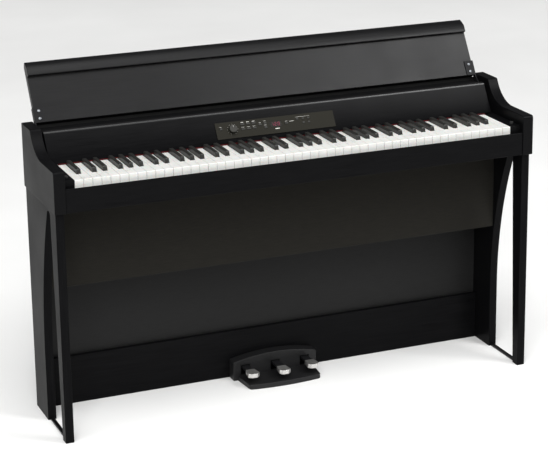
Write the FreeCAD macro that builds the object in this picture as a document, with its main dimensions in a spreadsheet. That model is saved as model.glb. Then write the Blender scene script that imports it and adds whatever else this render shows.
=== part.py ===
import FreeCAD, Part
import math
import os
import Sketcher

# A digital piano on its stand. X runs along the keyboard (low notes at -X), Y from the player to
# the wall, Z up from the floor. The origin is at the middle of the footprint, on the floor.
# Depths in the sheet are measured from the front face of the cheeks, heights from the floor.

doc = FreeCAD.newDocument("DigitalPiano")
sheet = doc.addObject("Spreadsheet::Sheet", "sizes")


# ------------------------------------------------------------------ driving dimensions
class Size:
    """A size with its number and the sheet expression that gives it, joined by arithmetic."""

    def __init__(self, number, text):
        self.number = number
        self.text = text

    def __add__(self, other):
        other = as_size(other)
        return Size(self.number + other.number, "(%s + %s)" % (self.text, other.text))

    def __sub__(self, other):
        other = as_size(other)
        return Size(self.number - other.number, "(%s - %s)" % (self.text, other.text))

    def __mul__(self, other):
        other = as_size(other)
        return Size(self.number * other.number, "(%s * %s)" % (self.text, other.text))

    def __truediv__(self, other):
        other = as_size(other)
        return Size(self.number / other.number, "(%s / %s)" % (self.text, other.text))

    def __rsub__(self, other):
        return as_size(other) - self

    def __neg__(self):
        return as_size(0) - self

    __radd__ = __add__
    __rmul__ = __mul__


def as_size(value):
    """A plain number or a Size, as a Size."""
    return value if isinstance(value, Size) else Size(value, repr(value))


def sine(angle):
    return Size(math.sin(math.radians(angle.number)), "sin(%s)" % angle.text)


def cosine(angle):
    return Size(math.cos(math.radians(angle.number)), "cos(%s)" % angle.text)


def tangent(angle):
    return Size(math.tan(math.radians(angle.number)), "tan(%s)" % angle.text)


def root(value):
    return Size(math.sqrt(value.number), "sqrt(%s)" % value.text)


def dimension(alias, value):
    """One driving dimension: a plain number in the sheet, under its own name."""
    dimension.row += 1
    sheet.set("A%d" % dimension.row, alias)
    sheet.set("B%d" % dimension.row, str(value))
    sheet.setAlias("B%d" % dimension.row, alias)
    return Size(value, "sizes.%s" % alias)


dimension.row = 0

# Case: two cheeks with a key bed, a front rail, a sloping fascia and a shelf between them. Its
# width follows from the keys and the blocks beside them. Its heights are measured up from the
# stand, and those of what lies on the key bed up from the bed.
stand_high = dimension("stand_high", 617)
body_depth = dimension("body_depth", 289)
block_wide = dimension("block_wide", 29.4)
block_high = dimension("block_high", 65)
cheek_thick = dimension("cheek_thick", 30)
cheek_high = dimension("cheek_high", 170)
cheek_nose_high = dimension("cheek_nose_high", 109.5)
cheek_flat = dimension("cheek_flat", 113)
cheek_sweep = dimension("cheek_sweep", 100)
cheek_rounding = dimension("cheek_rounding", 8)
board_thick = dimension("board_thick", 15)
rail_front = dimension("rail_front", 3)
rail_thick = dimension("rail_thick", 14)
rail_high = dimension("rail_high", 49)
rail_fall = dimension("rail_fall", 6)
rail_rounding = dimension("rail_rounding", 2)
shelf_drop = dimension("shelf_drop", 7)
shelf_thick = dimension("shelf_thick", 12)
cover_thick = dimension("cover_thick", 4)
end_slot = dimension("end_slot", 7.5)
slip = dimension("slip", 0.3)
bumper_radius = dimension("bumper_radius", 5)
bumper_high = dimension("bumper_high", 7)
bumper_inset = dimension("bumper_inset", 14)
bumper_front = dimension("bumper_front", 42)

# Fascia: the sloping board behind the keys, leaning back from the vertical.
fascia_front = dimension("fascia_front", 166)
fascia_low = dimension("fascia_low", 68)
fascia_high = dimension("fascia_high", 75)
fascia_lean = dimension("fascia_lean", 32.6)
fascia_thick = dimension("fascia_thick", 14)
fascia_rounding = dimension("fascia_rounding", 4)
felt_thick = dimension("felt_thick", 2.6)
felt_deep = dimension("felt_deep", 9)

# Control panel, in the fascia's own slope: along the keyboard and up the slope.
panel_centre = dimension("panel_centre", -6)
panel_long = dimension("panel_long", 340)
panel_low = dimension("panel_low", 13)
panel_high = dimension("panel_high", 46)
panel_thick = dimension("panel_thick", 2)
panel_ledge = dimension("panel_ledge", 5)
button_proud = dimension("button_proud", 1.4)
button_flange = dimension("button_flange", 1)
flange_wide = dimension("flange_wide", 1)
knob_radius = dimension("knob_radius", 12)
knob_high = dimension("knob_high", 9)
knob_shaft = dimension("knob_shaft", 3)
display_long = dimension("display_long", 34)
display_high = dimension("display_high", 15)
display_proud = dimension("display_proud", 0.2)
display_deep = dimension("display_deep", 1.5)

# Keyboard: 88 keys from A to C, pivoted at the back on one rod.
key_pitch = dimension("key_pitch", 23.6)
key_gap = dimension("key_gap", 0.9)
key_front = dimension("key_front", 19.5)
key_back = dimension("key_back", 240)
white_high = dimension("white_high", 64.2)
key_deep = dimension("key_deep", 21.2)
white_head = dimension("white_head", 50)
black_wide = dimension("black_wide", 11)
black_side = dimension("black_side", 1.3)
black_rise = dimension("black_rise", 12)
black_slope = dimension("black_slope", 4)
black_tail_drop = dimension("black_tail_drop", 3)
pivot_back = dimension("pivot_back", 232)
pivot_rod = dimension("pivot_rod", 4.7)
block_clear = dimension("block_clear", 0.8)
saddle_foot = dimension("saddle_foot", 12)
saddle_half = dimension("saddle_half", 8)
frame_sheet = dimension("frame_sheet", 3)
frame_front = dimension("frame_front", 28)
rib_slope = dimension("rib_slope", 4)
guide_rib_front = dimension("guide_rib_front", 32)
guide_rib_wide = dimension("guide_rib_wide", 28)
guide_rib_high = dimension("guide_rib_high", 16)
sensor_rib_front = dimension("sensor_rib_front", 104)
sensor_rib_wide = dimension("sensor_rib_wide", 40)
sensor_rib_high = dimension("sensor_rib_high", 18)

# Electronics: boards under the keys, behind the panel and on the rear cover, and the sockets.
# Lengths run from the part's middle and heights from the key bed.
contact_inset = dimension("contact_inset", 6)
contact_thick = dimension("contact_thick", 2)
circuit_thick = dimension("circuit_thick", 1.6)
panel_board_in = dimension("panel_board_in", 4.2)
main_board_left = dimension("main_board_left", -210)
main_board_long = dimension("main_board_long", 250)
main_board_low = dimension("main_board_low", 13)
main_board_high = dimension("main_board_high", 100)
sink_left = dimension("sink_left", -190)
sink_long = dimension("sink_long", 80)
sink_low = dimension("sink_low", 68)
sink_high = dimension("sink_high", 35)
sink_deep = dimension("sink_deep", 16)
chip_left = dimension("chip_left", -60)
chip_wide = dimension("chip_wide", 28)
chip_low = dimension("chip_low", 48)
chip_deep = dimension("chip_deep", 3)
socket_left = dimension("socket_left", -480)
socket_long = dimension("socket_long", 90)
socket_low = dimension("socket_low", 18)
socket_high = dimension("socket_high", 28)
socket_deep = dimension("socket_deep", 26)
jack_first = dimension("jack_first", 12)
jack_pitch = dimension("jack_pitch", 28)
jack_deep = dimension("jack_deep", 14)
inlet_radius = dimension("inlet_radius", 4.5)
line_radius = dimension("line_radius", 3.3)

# Lid: a leaning board that swings forward over the keys on two steel arms.
lid_side_gap = dimension("lid_side_gap", 5.5)
lid_inset = dimension("lid_inset", 16.3)
lid_gap = dimension("lid_gap", 17.3)
lid_lean = dimension("lid_lean", 31.7)
lid_thick = dimension("lid_thick", 18)
lid_long = dimension("lid_long", 168.5)
lip_from = dimension("lip_from", 127)
lip_proud = dimension("lip_proud", 10.5)
lip_flat = dimension("lip_flat", 19)
lip_shoulder = dimension("lip_shoulder", 3)
lid_edge_drop = dimension("lid_edge_drop", 9.5)
lid_edge_back = dimension("lid_edge_back", 9)
lid_edge_front = dimension("lid_edge_front", 4)
lid_pivot_inset = dimension("lid_pivot_inset", 55)
lid_pivot_drop = dimension("lid_pivot_drop", 29)
arm_thick = dimension("arm_thick", 2.5)
arm_gap = dimension("arm_gap", 0.5)
arm_boss = dimension("arm_boss", 11)
arm_flange_wide = dimension("arm_flange_wide", 24)
arm_flange_high = dimension("arm_flange_high", 42)
arm_neck = dimension("arm_neck", 12)
arm_drop = dimension("arm_drop", 6)
lid_pin = dimension("lid_pin", 4)
pin_clear = dimension("pin_clear", 0.05)
pin_in_cheek = dimension("pin_in_cheek", 12)
pin_end = dimension("pin_end", 1)

# Stand: two side boards with a blade-shaped opening, a speaker box, a back panel, a pedal board.
side_thick = dimension("side_thick", 22.5)
side_inset = dimension("side_inset", 3.8)
post_front = dimension("post_front", 11)
post_foot = dimension("post_foot", 38.8)
post_head = dimension("post_head", 62.9)
leg_front = dimension("leg_front", 176.5)
leg_straight = dimension("leg_straight", 190)
leg_sweep = dimension("leg_sweep", 1000)
opening_drop = dimension("opening_drop", 10)
opening_rounding = dimension("opening_rounding", 12)
bar_wide = dimension("bar_wide", 10)
bar_high = dimension("bar_high", 6)
bar_tongue = dimension("bar_tongue", 14)
grille_front = dimension("grille_front", 165.5)
grille_thick = dimension("grille_thick", 5)
box_high = dimension("box_high", 250)
box_wall = dimension("box_wall", 12)
panel_back_thick = dimension("panel_back_thick", 4)
panel_back_low = dimension("panel_back_low", 95)
pedal_board_front = dimension("pedal_board_front", 262)
pedal_board_high = dimension("pedal_board_high", 135)
driver_radius = dimension("driver_radius", 50)
driver_inset = dimension("driver_inset", 276.7)
tweeter_radius = dimension("tweeter_radius", 22)
tweeter_inset = dimension("tweeter_inset", 126.7)
driver_drop = dimension("driver_drop", 125)
rim_wide = dimension("rim_wide", 7)
rim_thick = dimension("rim_thick", 3)

# Pedals: three levers on one shaft in a moulded housing on the floor.
pedal_pitch = dimension("pedal_pitch", 88.5)
pedal_top = dimension("pedal_top", 41)
lever_wide = dimension("lever_wide", 21)
lever_thick = dimension("lever_thick", 7)
tip_wide = dimension("tip_wide", 33)
tip_back_wide = dimension("tip_back_wide", 26)
tip_long = dimension("tip_long", 38)
tip_thick = dimension("tip_thick", 12)
tip_corner_long = dimension("tip_corner_long", 8)
tip_corner_wide = dimension("tip_corner_wide", 9)
tip_over = dimension("tip_over", 1.5)
tip_wall = dimension("tip_wall", 6)
tip_front = dimension("tip_front", 156)
middle_tip_proud = dimension("middle_tip_proud", 9)
pedal_pivot_back = dimension("pedal_pivot_back", 250)
pedal_shaft = dimension("pedal_shaft", 3)
lever_heel = dimension("lever_heel", 7)
hood_half = dimension("hood_half", 124)
hood_front = dimension("hood_front", 228)
hood_end_high = dimension("hood_end_high", 54)
hood_mid_high = dimension("hood_mid_high", 69)
hood_wall = dimension("hood_wall", 4)
tray_back_half = dimension("tray_back_half", 112)
tray_front_half = dimension("tray_front_half", 105)
tray_front = dimension("tray_front", 151)
tray_bow = dimension("tray_bow", 9)
tray_high = dimension("tray_high", 14)
tray_rounding = dimension("tray_rounding", 9)
pedal_slot_clear = dimension("pedal_slot_clear", 3)

# Fasteners.
screw_head = dimension("screw_head", 4)
screw_shank = dimension("screw_shank", 1.8)
screw_head_high = dimension("screw_head_high", 2.2)
screw_long = dimension("screw_long", 12)
screw_inset = dimension("screw_inset", 16)
screw_columns = 6

# ------------------------------------------------------------------ derived places
keys_half = key_pitch * 26
inner = keys_half + block_wide
half = inner + cheek_thick
side_inner = half - side_inset - side_thick
end = inner - end_slot
lid_half = inner - lid_side_gap
lid_back = body_depth - lid_inset
lid_pivot_back = body_depth - lid_pivot_inset
lid_rear = lid_back + lid_thick * cosine(lid_lean) + (lid_long - lid_edge_drop) * sine(lid_lean)
front = -lid_rear / 2
cheek_top = stand_high + cheek_high
cheek_front_top = stand_high + cheek_nose_high
bed_top = stand_high + board_thick
block_top = bed_top + block_high
rail_top = bed_top + rail_high
white_top = bed_top + white_high
key_bottom = white_top - key_deep
pivot_up = key_bottom - slip - pivot_rod
fascia_bottom = bed_top + fascia_low
fascia_top = fascia_bottom + fascia_high
shelf_top = fascia_top - shelf_drop
lid_low = shelf_top + lid_gap
lid_pivot_up = shelf_top - lid_pivot_drop
# The open lid's lower back corner comes down just over the rear cover.
cover_top = lid_low - lid_thick * sine(lid_lean) - slip
opening_top = stand_high - opening_drop
box_bottom = stand_high - box_high
driver_height = stand_high - driver_drop
# How far a cutting block or drill passes the piece that it cuts.
over = as_size(5)
pedal_board_back = pedal_board_front + board_thick


def deep(value):
    """A depth measured from the cheeks' front face, as a Y in the part's own frame."""
    return front + value


# ------------------------------------------------------------------ drawing and building helpers
PLANES = {"XY": (0, 1), "XZ": (0, 2), "YZ": (1, 2)}
made = []


def keep(feature, label):
    """Register a finished sub-part under the name of its file."""
    feature.Label = label
    made.append(feature)
    return feature


def bind(feature, **sizes):
    """Tie properties of a feature to the sheet."""
    for name, value in sizes.items():
        feature.setExpression(name, as_size(value).text)


def place(feature, x=0, y=0, z=0, lean=None):
    """Set a feature down at x, y, z, leaning back from the vertical by an angle if one is given."""
    if lean is not None:
        feature.Placement = FreeCAD.Placement(FreeCAD.Vector(), FreeCAD.Vector(1, 0, 0), -lean.number)
        feature.setExpression("Placement.Rotation.Angle", (-lean).text)
    for axis, value in (("x", x), ("y", y), ("z", z)):
        feature.setExpression("Placement.Base.%s" % axis, as_size(value).text)


def new_body(name):
    return doc.addObject("PartDesign::Body", "body_" + name)


def new_sketch(body, plane):
    """A sketch on one of the body's own origin planes."""
    sketch = body.newObject("Sketcher::SketchObject", body.Name + "_sketch")
    origin = [item for item in body.Origin.OriginFeatures if item.Role == plane + "_Plane"]
    sketch.AttachmentSupport = [(origin[0], "")]
    sketch.MapMode = "FlatFace"
    return sketch


def fix(sketch, kind, geometry, point, value):
    """Hold one point of a sketch at a distance from the sketch's origin along one axis."""
    value = as_size(value)
    axis = -2 if kind == "DistanceX" else -1
    if value.text == "0":
        sketch.addConstraint(Sketcher.Constraint("PointOnObject", geometry, point, axis))
        return
    number = sketch.addConstraint(Sketcher.Constraint(kind, -1, 1, geometry, point, value.number))
    sketch.setExpression("Constraints[%d]" % number, value.text)


def draw(sketch, corners, arcs=None):
    """A closed outline. arcs gives, for a side's number, its radius and whether it turns left."""
    arcs = arcs or {}
    points = [FreeCAD.Vector(as_size(a).number, as_size(b).number, 0) for a, b in corners]
    ends = []
    for side, start in enumerate(points):
        finish = points[(side + 1) % len(points)]
        if side in arcs:
            radius, left = arcs[side]
            chord = finish - start
            across = FreeCAD.Vector(-chord.y, chord.x, 0).normalize()
            reach = math.sqrt(radius.number ** 2 - chord.Length ** 2 / 4)
            centre = (start + finish) / 2 + across * (reach if left else -reach)
            first, last = (start, finish) if left else (finish, start)
            turn_from = math.atan2(first.y - centre.y, first.x - centre.x)
            turn_to = math.atan2(last.y - centre.y, last.x - centre.x)
            if turn_to < turn_from:
                turn_to += 2 * math.pi
            circle = Part.Circle(centre, FreeCAD.Vector(0, 0, 1), radius.number)
            line = sketch.addGeometry(Part.ArcOfCircle(circle, turn_from, turn_to))
            ends.append((line, 1, 2) if left else (line, 2, 1))
        else:
            line = sketch.addGeometry(Part.LineSegment(start, finish))
            ends.append((line, 1, 2))
    for side, (line, _, finish_point) in enumerate(ends):
        following, start_point, _ = ends[(side + 1) % len(ends)]
        joint = Sketcher.Constraint("Coincident", line, finish_point, following, start_point)
        sketch.addConstraint(joint)
    for side, (line, start_point, _) in enumerate(ends):
        fix(sketch, "DistanceX", line, start_point, corners[side][0])
        fix(sketch, "DistanceY", line, start_point, corners[side][1])
        if side in arcs:
            radius = arcs[side][0]
            number = sketch.addConstraint(Sketcher.Constraint("Radius", line, radius.number))
            sketch.setExpression("Constraints[%d]" % number, radius.text)


def pad(body, sketch, length):
    feature = body.newObject("PartDesign::Pad", body.Name + "_pad")
    feature.Profile = sketch
    bind(feature, Length=length)
    return feature


def prism(name, plane, corners, length, arcs=None):
    """A body made by padding one closed outline."""
    body = new_body(name)
    sketch = new_sketch(body, plane)
    draw(sketch, corners, arcs)
    pad(body, sketch, length)
    return body


def edges_at(feature, plane, corners):
    """Names of the edges that stand on the given corners of the outline."""
    first, second = PLANES[plane]
    names = []
    for corner in corners:
        a, b = as_size(corner[0]).number, as_size(corner[1]).number
        for number, edge in enumerate(feature.Shape.Edges, 1):
            ends = [vertex.Point for vertex in edge.Vertexes]
            if all(abs(end[first] - a) < 1e-4 and abs(end[second] - b) < 1e-4 for end in ends):
                names.append("Edge%d" % number)
    return names


def round_over(body, plane, corners, radius):
    """Fillet the edges of a body's latest feature that stand on the given corners."""
    doc.recompute()
    base = body.Tip
    fillet = body.newObject("PartDesign::Fillet", body.Name + "_fillet")
    fillet.Base = (base, edges_at(base, plane, corners))
    bind(fillet, Radius=radius)
    return fillet


def board(name, x, y, z):
    """A plain rectangular board between two values on each axis."""
    box = doc.addObject("Part::Box", name)
    bind(box, Length=x[1] - x[0], Width=y[1] - y[0], Height=z[1] - z[0])
    place(box, x[0], y[0], z[0])
    return box


def rod(name, radius, length, x, y, z, along):
    """A round bar that starts at x, y, z and runs along an axis."""
    bar = doc.addObject("Part::Cylinder", name)
    turn = FreeCAD.Rotation(FreeCAD.Vector(0, 0, 1), FreeCAD.Vector(*along))
    bar.Placement = FreeCAD.Placement(FreeCAD.Vector(), turn)
    bind(bar, Radius=radius, Height=length)
    place(bar, x, y, z)
    return bar


def boolean(kind, name, base, tool):
    result = doc.addObject("Part::" + kind, name)
    result.Base = base
    result.Tool = tool
    return result


def group(name, pieces):
    """Several separate solids under one name."""
    compound = doc.addObject("Part::Compound", name)
    compound.Links = pieces
    return compound


# ------------------------------------------------------------------ case
def make_cheeks():
    """Two side cheeks whose top sweeps up from beside the keys to the shelf."""
    rise = cheek_top - cheek_front_top
    sweep_end = cheek_flat + root(cheek_sweep * cheek_sweep
                                  - (cheek_sweep - rise) * (cheek_sweep - rise))
    nose = (0, cheek_front_top)
    crest = (sweep_end, cheek_top)
    outline = [(0, stand_high), (body_depth, stand_high), (body_depth, cheek_top),
               crest, (cheek_flat, cheek_front_top), nose]
    for name, x in (("cheek_left", -half), ("cheek_right", inner)):
        body = prism(name, "YZ", outline, cheek_thick, {3: (cheek_sweep, False)})
        round_over(body, "YZ", [nose, crest], cheek_rounding)
        place(body, x, front, 0)
        keep(body, name)


def make_case_boards():
    """Key bed, front rail, shelf, rear cover and the blocks at the two ends of the keyboard."""
    keep(board("key_bed", (-inner, inner), (deep(rail_front + rail_thick), deep(body_depth)),
               (stand_high, bed_top)), "key_bed")
    rail_back = rail_front + rail_thick
    outline = [(rail_front, stand_high), (rail_back, stand_high),
               (rail_back, rail_top - rail_fall), (rail_front, rail_top)]
    rail = prism("front_rail", "YZ", outline, inner * 2)
    round_over(rail, "YZ", [(rail_front, rail_top)], rail_rounding)
    place(rail, -inner, front, 0)
    keep(rail, "front_rail")
    shelf_front = fascia_front + fascia_thick + (shelf_top - fascia_bottom) * tangent(fascia_lean)
    keep(board("top_shelf", (-end, end), (deep(shelf_front), deep(body_depth - cover_thick)),
               (shelf_top - shelf_thick, shelf_top)), "top_shelf")
    blocks = []
    for name, x0, x1 in (("low_block", -inner, -(keys_half + block_clear)),
                         ("high_block", keys_half + block_clear, inner)):
        blocks.append(board(name, (x0, x1), (deep(key_front), deep(pivot_back - saddle_foot)),
                            (bed_top, block_top)))
    keep(group("key_end_blocks", blocks), "key_end_blocks")
    bumpers = []
    bumper_x = inner - bumper_inset
    for name, x in (("low_bumper", -bumper_x), ("high_bumper", bumper_x)):
        bumpers.append(rod(name, bumper_radius, bumper_high, x, deep(bumper_front), block_top,
                           (0, 0, 1)))
    keep(group("lid_bumpers", bumpers), "lid_bumpers")


def fascia_frame(feature, x, out, up):
    """Set a feature down on the fascia's slope: along the keys, out of the face, up the slope."""
    place(feature, x, deep(fascia_front) + up * sine(fascia_lean) + out * cosine(fascia_lean),
          fascia_bottom + up * cosine(fascia_lean) - out * sine(fascia_lean), fascia_lean)


def slope_board(name, x, out, up):
    """A rectangular block on the fascia's slope between two values on each axis."""
    box = doc.addObject("Part::Box", name)
    bind(box, Length=x[1] - x[0], Width=out[1] - out[0], Height=up[1] - up[0])
    fascia_frame(box, x[0], as_size(out[0]), as_size(up[0]))
    return box


def slope_rod(name, radius, x, out, up):
    """A round piece whose axis is square to the fascia's slope."""
    bar = doc.addObject("Part::Cylinder", name)
    bind(bar, Radius=radius, Height=out[1] - out[0])
    turn = FreeCAD.Rotation(FreeCAD.Vector(1, 0, 0), -90 - fascia_lean.number)
    bar.Placement = FreeCAD.Placement(FreeCAD.Vector(), turn)
    bar.setExpression("Placement.Rotation.Angle", (-(fascia_lean + 90)).text)
    depth, height = as_size(out[0]), as_size(up)
    place(bar, x, deep(fascia_front) + height * sine(fascia_lean) + depth * cosine(fascia_lean),
          fascia_bottom + height * cosine(fascia_lean) - depth * sine(fascia_lean))
    return bar


window_x = (panel_centre - panel_long / 2 + panel_ledge, panel_centre + panel_long / 2 - panel_ledge)
window_up = (panel_low + panel_ledge, panel_low + panel_high - panel_ledge)


def make_fascia():
    """The sloping board behind the keys, with a window behind the control panel, and its felt."""
    run = (fascia_top - fascia_bottom) * tangent(fascia_lean)
    nose = (fascia_front + run, fascia_top)
    outline = [(fascia_front, fascia_bottom), (fascia_front + fascia_thick, fascia_bottom),
               (fascia_front + fascia_thick + run, fascia_top), nose]
    body = prism("fascia_board", "YZ", outline, end * 2)
    round_over(body, "YZ", [nose], fascia_rounding)
    place(body, -end, front, 0)
    window = slope_board("fascia_window", window_x, (-over, fascia_thick + over), window_up)
    keep(boolean("Cut", "fascia", body, window), "fascia")
    felt_top = fascia_bottom - slip
    keep(board("key_felt_strip", (-keys_half, keys_half),
               (deep(fascia_front), deep(fascia_front + felt_deep)),
               (felt_top - felt_thick, felt_top)), "key_felt_strip")
    keep(board("rear_cover_board", (-inner, inner), (deep(body_depth - cover_thick), deep(body_depth)),
               (bed_top, cover_top)), "rear_cover")


# ------------------------------------------------------------------ control panel
# Each button: name, centre along the keys, centre up the slope, width, height.
BUTTONS = [("power_button", -161.5, 41, 7, 6)]
for count, column in enumerate((-99.5, -83.5, -67.5)):
    BUTTONS.append(("sound_button_%d" % (count + 1), column, 48.5, 11, 4.5))
    BUTTONS.append(("sound_button_%d" % (count + 4), column, 35, 11, 4.5))
BUTTONS += [("bank_button", -50, 42, 9, 4.5), ("up_button", -35.5, 45, 8, 6),
            ("down_button", -35.5, 33.5, 8, 6), ("metronome_button", 25, 38, 9, 4.5)]
SONG_BUTTONS = [("song", 57.5, 46, 6.5, 5), ("record", 74, 46, 6.5, 5), ("play", 74, 34.5, 6.5, 5),
                ("tempo_up", 89.5, 46, 6.5, 5), ("tempo_down", 89.5, 34.5, 6.5, 5)]
knob_x = as_size(-129)
knob_up = as_size(37.5)
display_x = as_size(-6.5)
display_up = as_size(39)


def make_button(name, x, up, wide, high):
    """A push button: a cap through the plate and a flange behind the plate that holds it in."""
    cap = slope_board(name + "_cap", (as_size(x - wide / 2), as_size(x + wide / 2)),
                      (-(panel_thick + button_proud), slip + button_flange),
                      (as_size(up - high / 2), as_size(up + high / 2)))
    flange = slope_board(name + "_flange", (x - wide / 2 - flange_wide, x + wide / 2 + flange_wide),
                         (slip, slip + button_flange),
                         (up - high / 2 - flange_wide, up + high / 2 + flange_wide))
    return boolean("Fuse", name, cap, flange)


def make_control_panel():
    """The plate with its display, knob and buttons, and the holes they come through."""
    plate = slope_board("panel_plate", (panel_centre - panel_long / 2, panel_centre + panel_long / 2),
                        (-panel_thick, as_size(0)), (panel_low, panel_low + panel_high))
    holes = []
    for name, x, up, wide, high in BUTTONS + SONG_BUTTONS:
        holes.append(slope_board(name + "_hole",
                                 (x - wide / 2 - slip, x + wide / 2 + slip),
                                 (-(panel_thick + over), over),
                                 (up - high / 2 - slip, up + high / 2 + slip)))
    holes.append(slope_rod("knob_hole", knob_shaft + slip, knob_x, (-(panel_thick + over), over),
                           knob_up))
    glass_x = (display_x - display_long / 2, display_x + display_long / 2)
    glass_up = (display_up - display_high / 2, display_up + display_high / 2)
    holes.append(slope_board("display_hole", glass_x, (-(panel_thick + over), over), glass_up))
    cutters = group("panel_holes", holes)
    keep(boolean("Cut", "control_panel", plate, cutters), "control_panel")
    keep(slope_board("led_display", glass_x, (-(panel_thick + display_proud), display_deep), glass_up),
         "led_display")
    for name, x, up, wide, high in BUTTONS:
        keep(make_button(name, x, up, wide, high), name)
    keep(group("song_buttons", [make_button(*row) for row in SONG_BUTTONS]), "song_buttons")
    cap = slope_rod("knob_cap", knob_radius, knob_x,
                    (-(panel_thick + slip + knob_high), -(panel_thick + slip)), knob_up)
    shaft = slope_rod("knob_shaft_bar", knob_shaft, knob_x,
                      (-(panel_thick + slip + 2), button_flange + display_deep), knob_up)
    keep(boolean("Fuse", "volume_knob", cap, shaft), "volume_knob")


# ------------------------------------------------------------------ keyboard
def key_range(group_size, place_in_group):
    """Left and right of a white key's head and tail, from its group's left edge."""
    slot = black_wide + black_side * 2
    tail = (key_pitch * group_size - slot * (group_size - 1)) / group_size
    head = (key_pitch * place_in_group + key_gap / 2,
            key_pitch * (place_in_group + 1) - key_gap / 2)
    left = (tail + slot) * place_in_group
    right = left + tail
    if place_in_group == 0:
        left = head[0]
    if place_in_group == group_size - 1:
        right = head[1]
    return head, (left, right)


def white_outline(head, tail, cut_left, cut_right):
    """The plan of a white key, cut away beside the black keys next to it."""
    shoulder = key_front + white_head
    corners = [(head[0], key_front), (head[1], key_front)]
    if cut_right:
        corners += [(head[1], shoulder), (tail[1], shoulder), (tail[1], key_back)]
    else:
        corners += [(head[1], key_back)]
    if cut_left:
        corners += [(tail[0], key_back), (tail[0], shoulder), (head[0], shoulder)]
    else:
        corners += [(head[0], key_back)]
    return corners


def repeat(body, feature, sketch, axis, step, count):
    """Copy a pad along one axis of its sketch, one octave apart."""
    pattern = body.newObject("PartDesign::LinearPattern", body.Name + "_octaves")
    pattern.Originals = [feature]
    pattern.Direction = (sketch, [axis])
    bind(pattern, Length=step * (count - 1))
    pattern.Occurrences = count
    body.Tip = pattern
    return pattern


octave = key_pitch * 7
# White keys: name, size of their group between black keys, place in it, whites to the left of
# their first full key, number of keys. The keyboard starts on A and ends on C.
WHITES = [("keys_c", 3, 0, 2, 7), ("keys_d", 3, 1, 3, 7), ("keys_e", 3, 2, 4, 7),
          ("keys_f", 4, 0, 5, 7), ("keys_g", 4, 1, 6, 7), ("keys_a", 4, 2, 7, 7),
          ("keys_b", 4, 3, 1, 8)]
# Black keys: name, size of their group, which black key in it, whites left of the group, number.
BLACKS = [("keys_c_sharp", 3, 0, 2, 7), ("keys_d_sharp", 3, 1, 2, 7), ("keys_f_sharp", 4, 0, 5, 7),
          ("keys_g_sharp", 4, 1, 5, 7), ("keys_a_sharp", 4, 2, -2, 8)]


def make_white_keys():
    for name, group_size, place_in_group, before, count in WHITES:
        head, tail = key_range(group_size, place_in_group)
        group_left = key_pitch * (before - place_in_group) - keys_half
        head = (group_left + head[0], group_left + head[1])
        tail = (group_left + tail[0], group_left + tail[1])
        cut_left = place_in_group > 0
        cut_right = place_in_group < group_size - 1
        body = new_body(name)
        sketch = new_sketch(body, "XY")
        draw(sketch, white_outline(head, tail, cut_left, cut_right))
        first = pad(body, sketch, key_deep)
        doc.recompute()
        repeat(body, first, sketch, "H_Axis", octave, count)
        if name == "keys_a":
            lowest = new_sketch(body, "XY")
            shift = -octave
            draw(lowest, white_outline((head[0] + shift, head[1] + shift),
                                       (tail[0] + shift, tail[1] + shift), False, True))
            doc.recompute()
            pad(body, lowest, key_deep)
        if name == "keys_c":
            highest = new_sketch(body, "XY")
            shift = octave * 7
            draw(highest, white_outline((head[0] + shift, head[1] + shift), tail, False, False))
            doc.recompute()
            pad(body, highest, key_deep)
        place(body, 0, front, key_bottom)
        keep(body, name)


def make_black_keys():
    slot = black_wide + black_side * 2
    toe = key_front + white_head + black_side
    top = key_deep + black_rise
    cap_back = fascia_front - 2
    tail_top = key_deep - black_tail_drop
    outline = [(toe, 0), (key_back, 0), (key_back, tail_top), (cap_back, tail_top),
               (cap_back, top), (toe + black_slope, top), (toe, key_deep + 1)]
    for name, group_size, number, before, count in BLACKS:
        tail = (key_pitch * group_size - slot * (group_size - 1)) / group_size
        left = key_pitch * before - keys_half + tail * (number + 1) + slot * number + black_side
        body = new_body(name)
        sketch = new_sketch(body, "YZ")
        draw(sketch, outline)
        first = pad(body, sketch, black_wide)
        doc.recompute()
        repeat(body, first, sketch, "N_Axis", octave, count)
        place(body, left, front, key_bottom)
        keep(body, name)


def make_key_frame():
    """The pressed steel chassis under the keys and the rod at the back that they pivot on."""
    top = bed_top + frame_sheet
    saddle = pivot_up - pivot_rod

    def rib(rib_front, wide, high):
        """A folded rib, from its back foot to its front foot."""
        return [(rib_front + wide, top), (rib_front + wide - rib_slope, top + high),
                (rib_front + rib_slope, top + high), (rib_front, top)]

    outline = [(frame_front, bed_top), (pivot_back + saddle_foot, bed_top),
               (pivot_back + saddle_foot, top), (pivot_back + saddle_half, saddle),
               (pivot_back - saddle_half, saddle), (pivot_back - saddle_foot, top)]
    outline += rib(sensor_rib_front, sensor_rib_wide, sensor_rib_high)
    outline += rib(guide_rib_front, guide_rib_wide, guide_rib_high)
    outline += [(frame_front, top)]
    chassis = prism("key_chassis", "YZ", outline, keys_half * 2)
    place(chassis, -keys_half, front, 0)
    bar = rod("key_rod", pivot_rod, keys_half * 2, -keys_half, deep(pivot_back), pivot_up, (1, 0, 0))
    keep(group("key_frame", [chassis, bar]), "key_frame")


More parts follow.
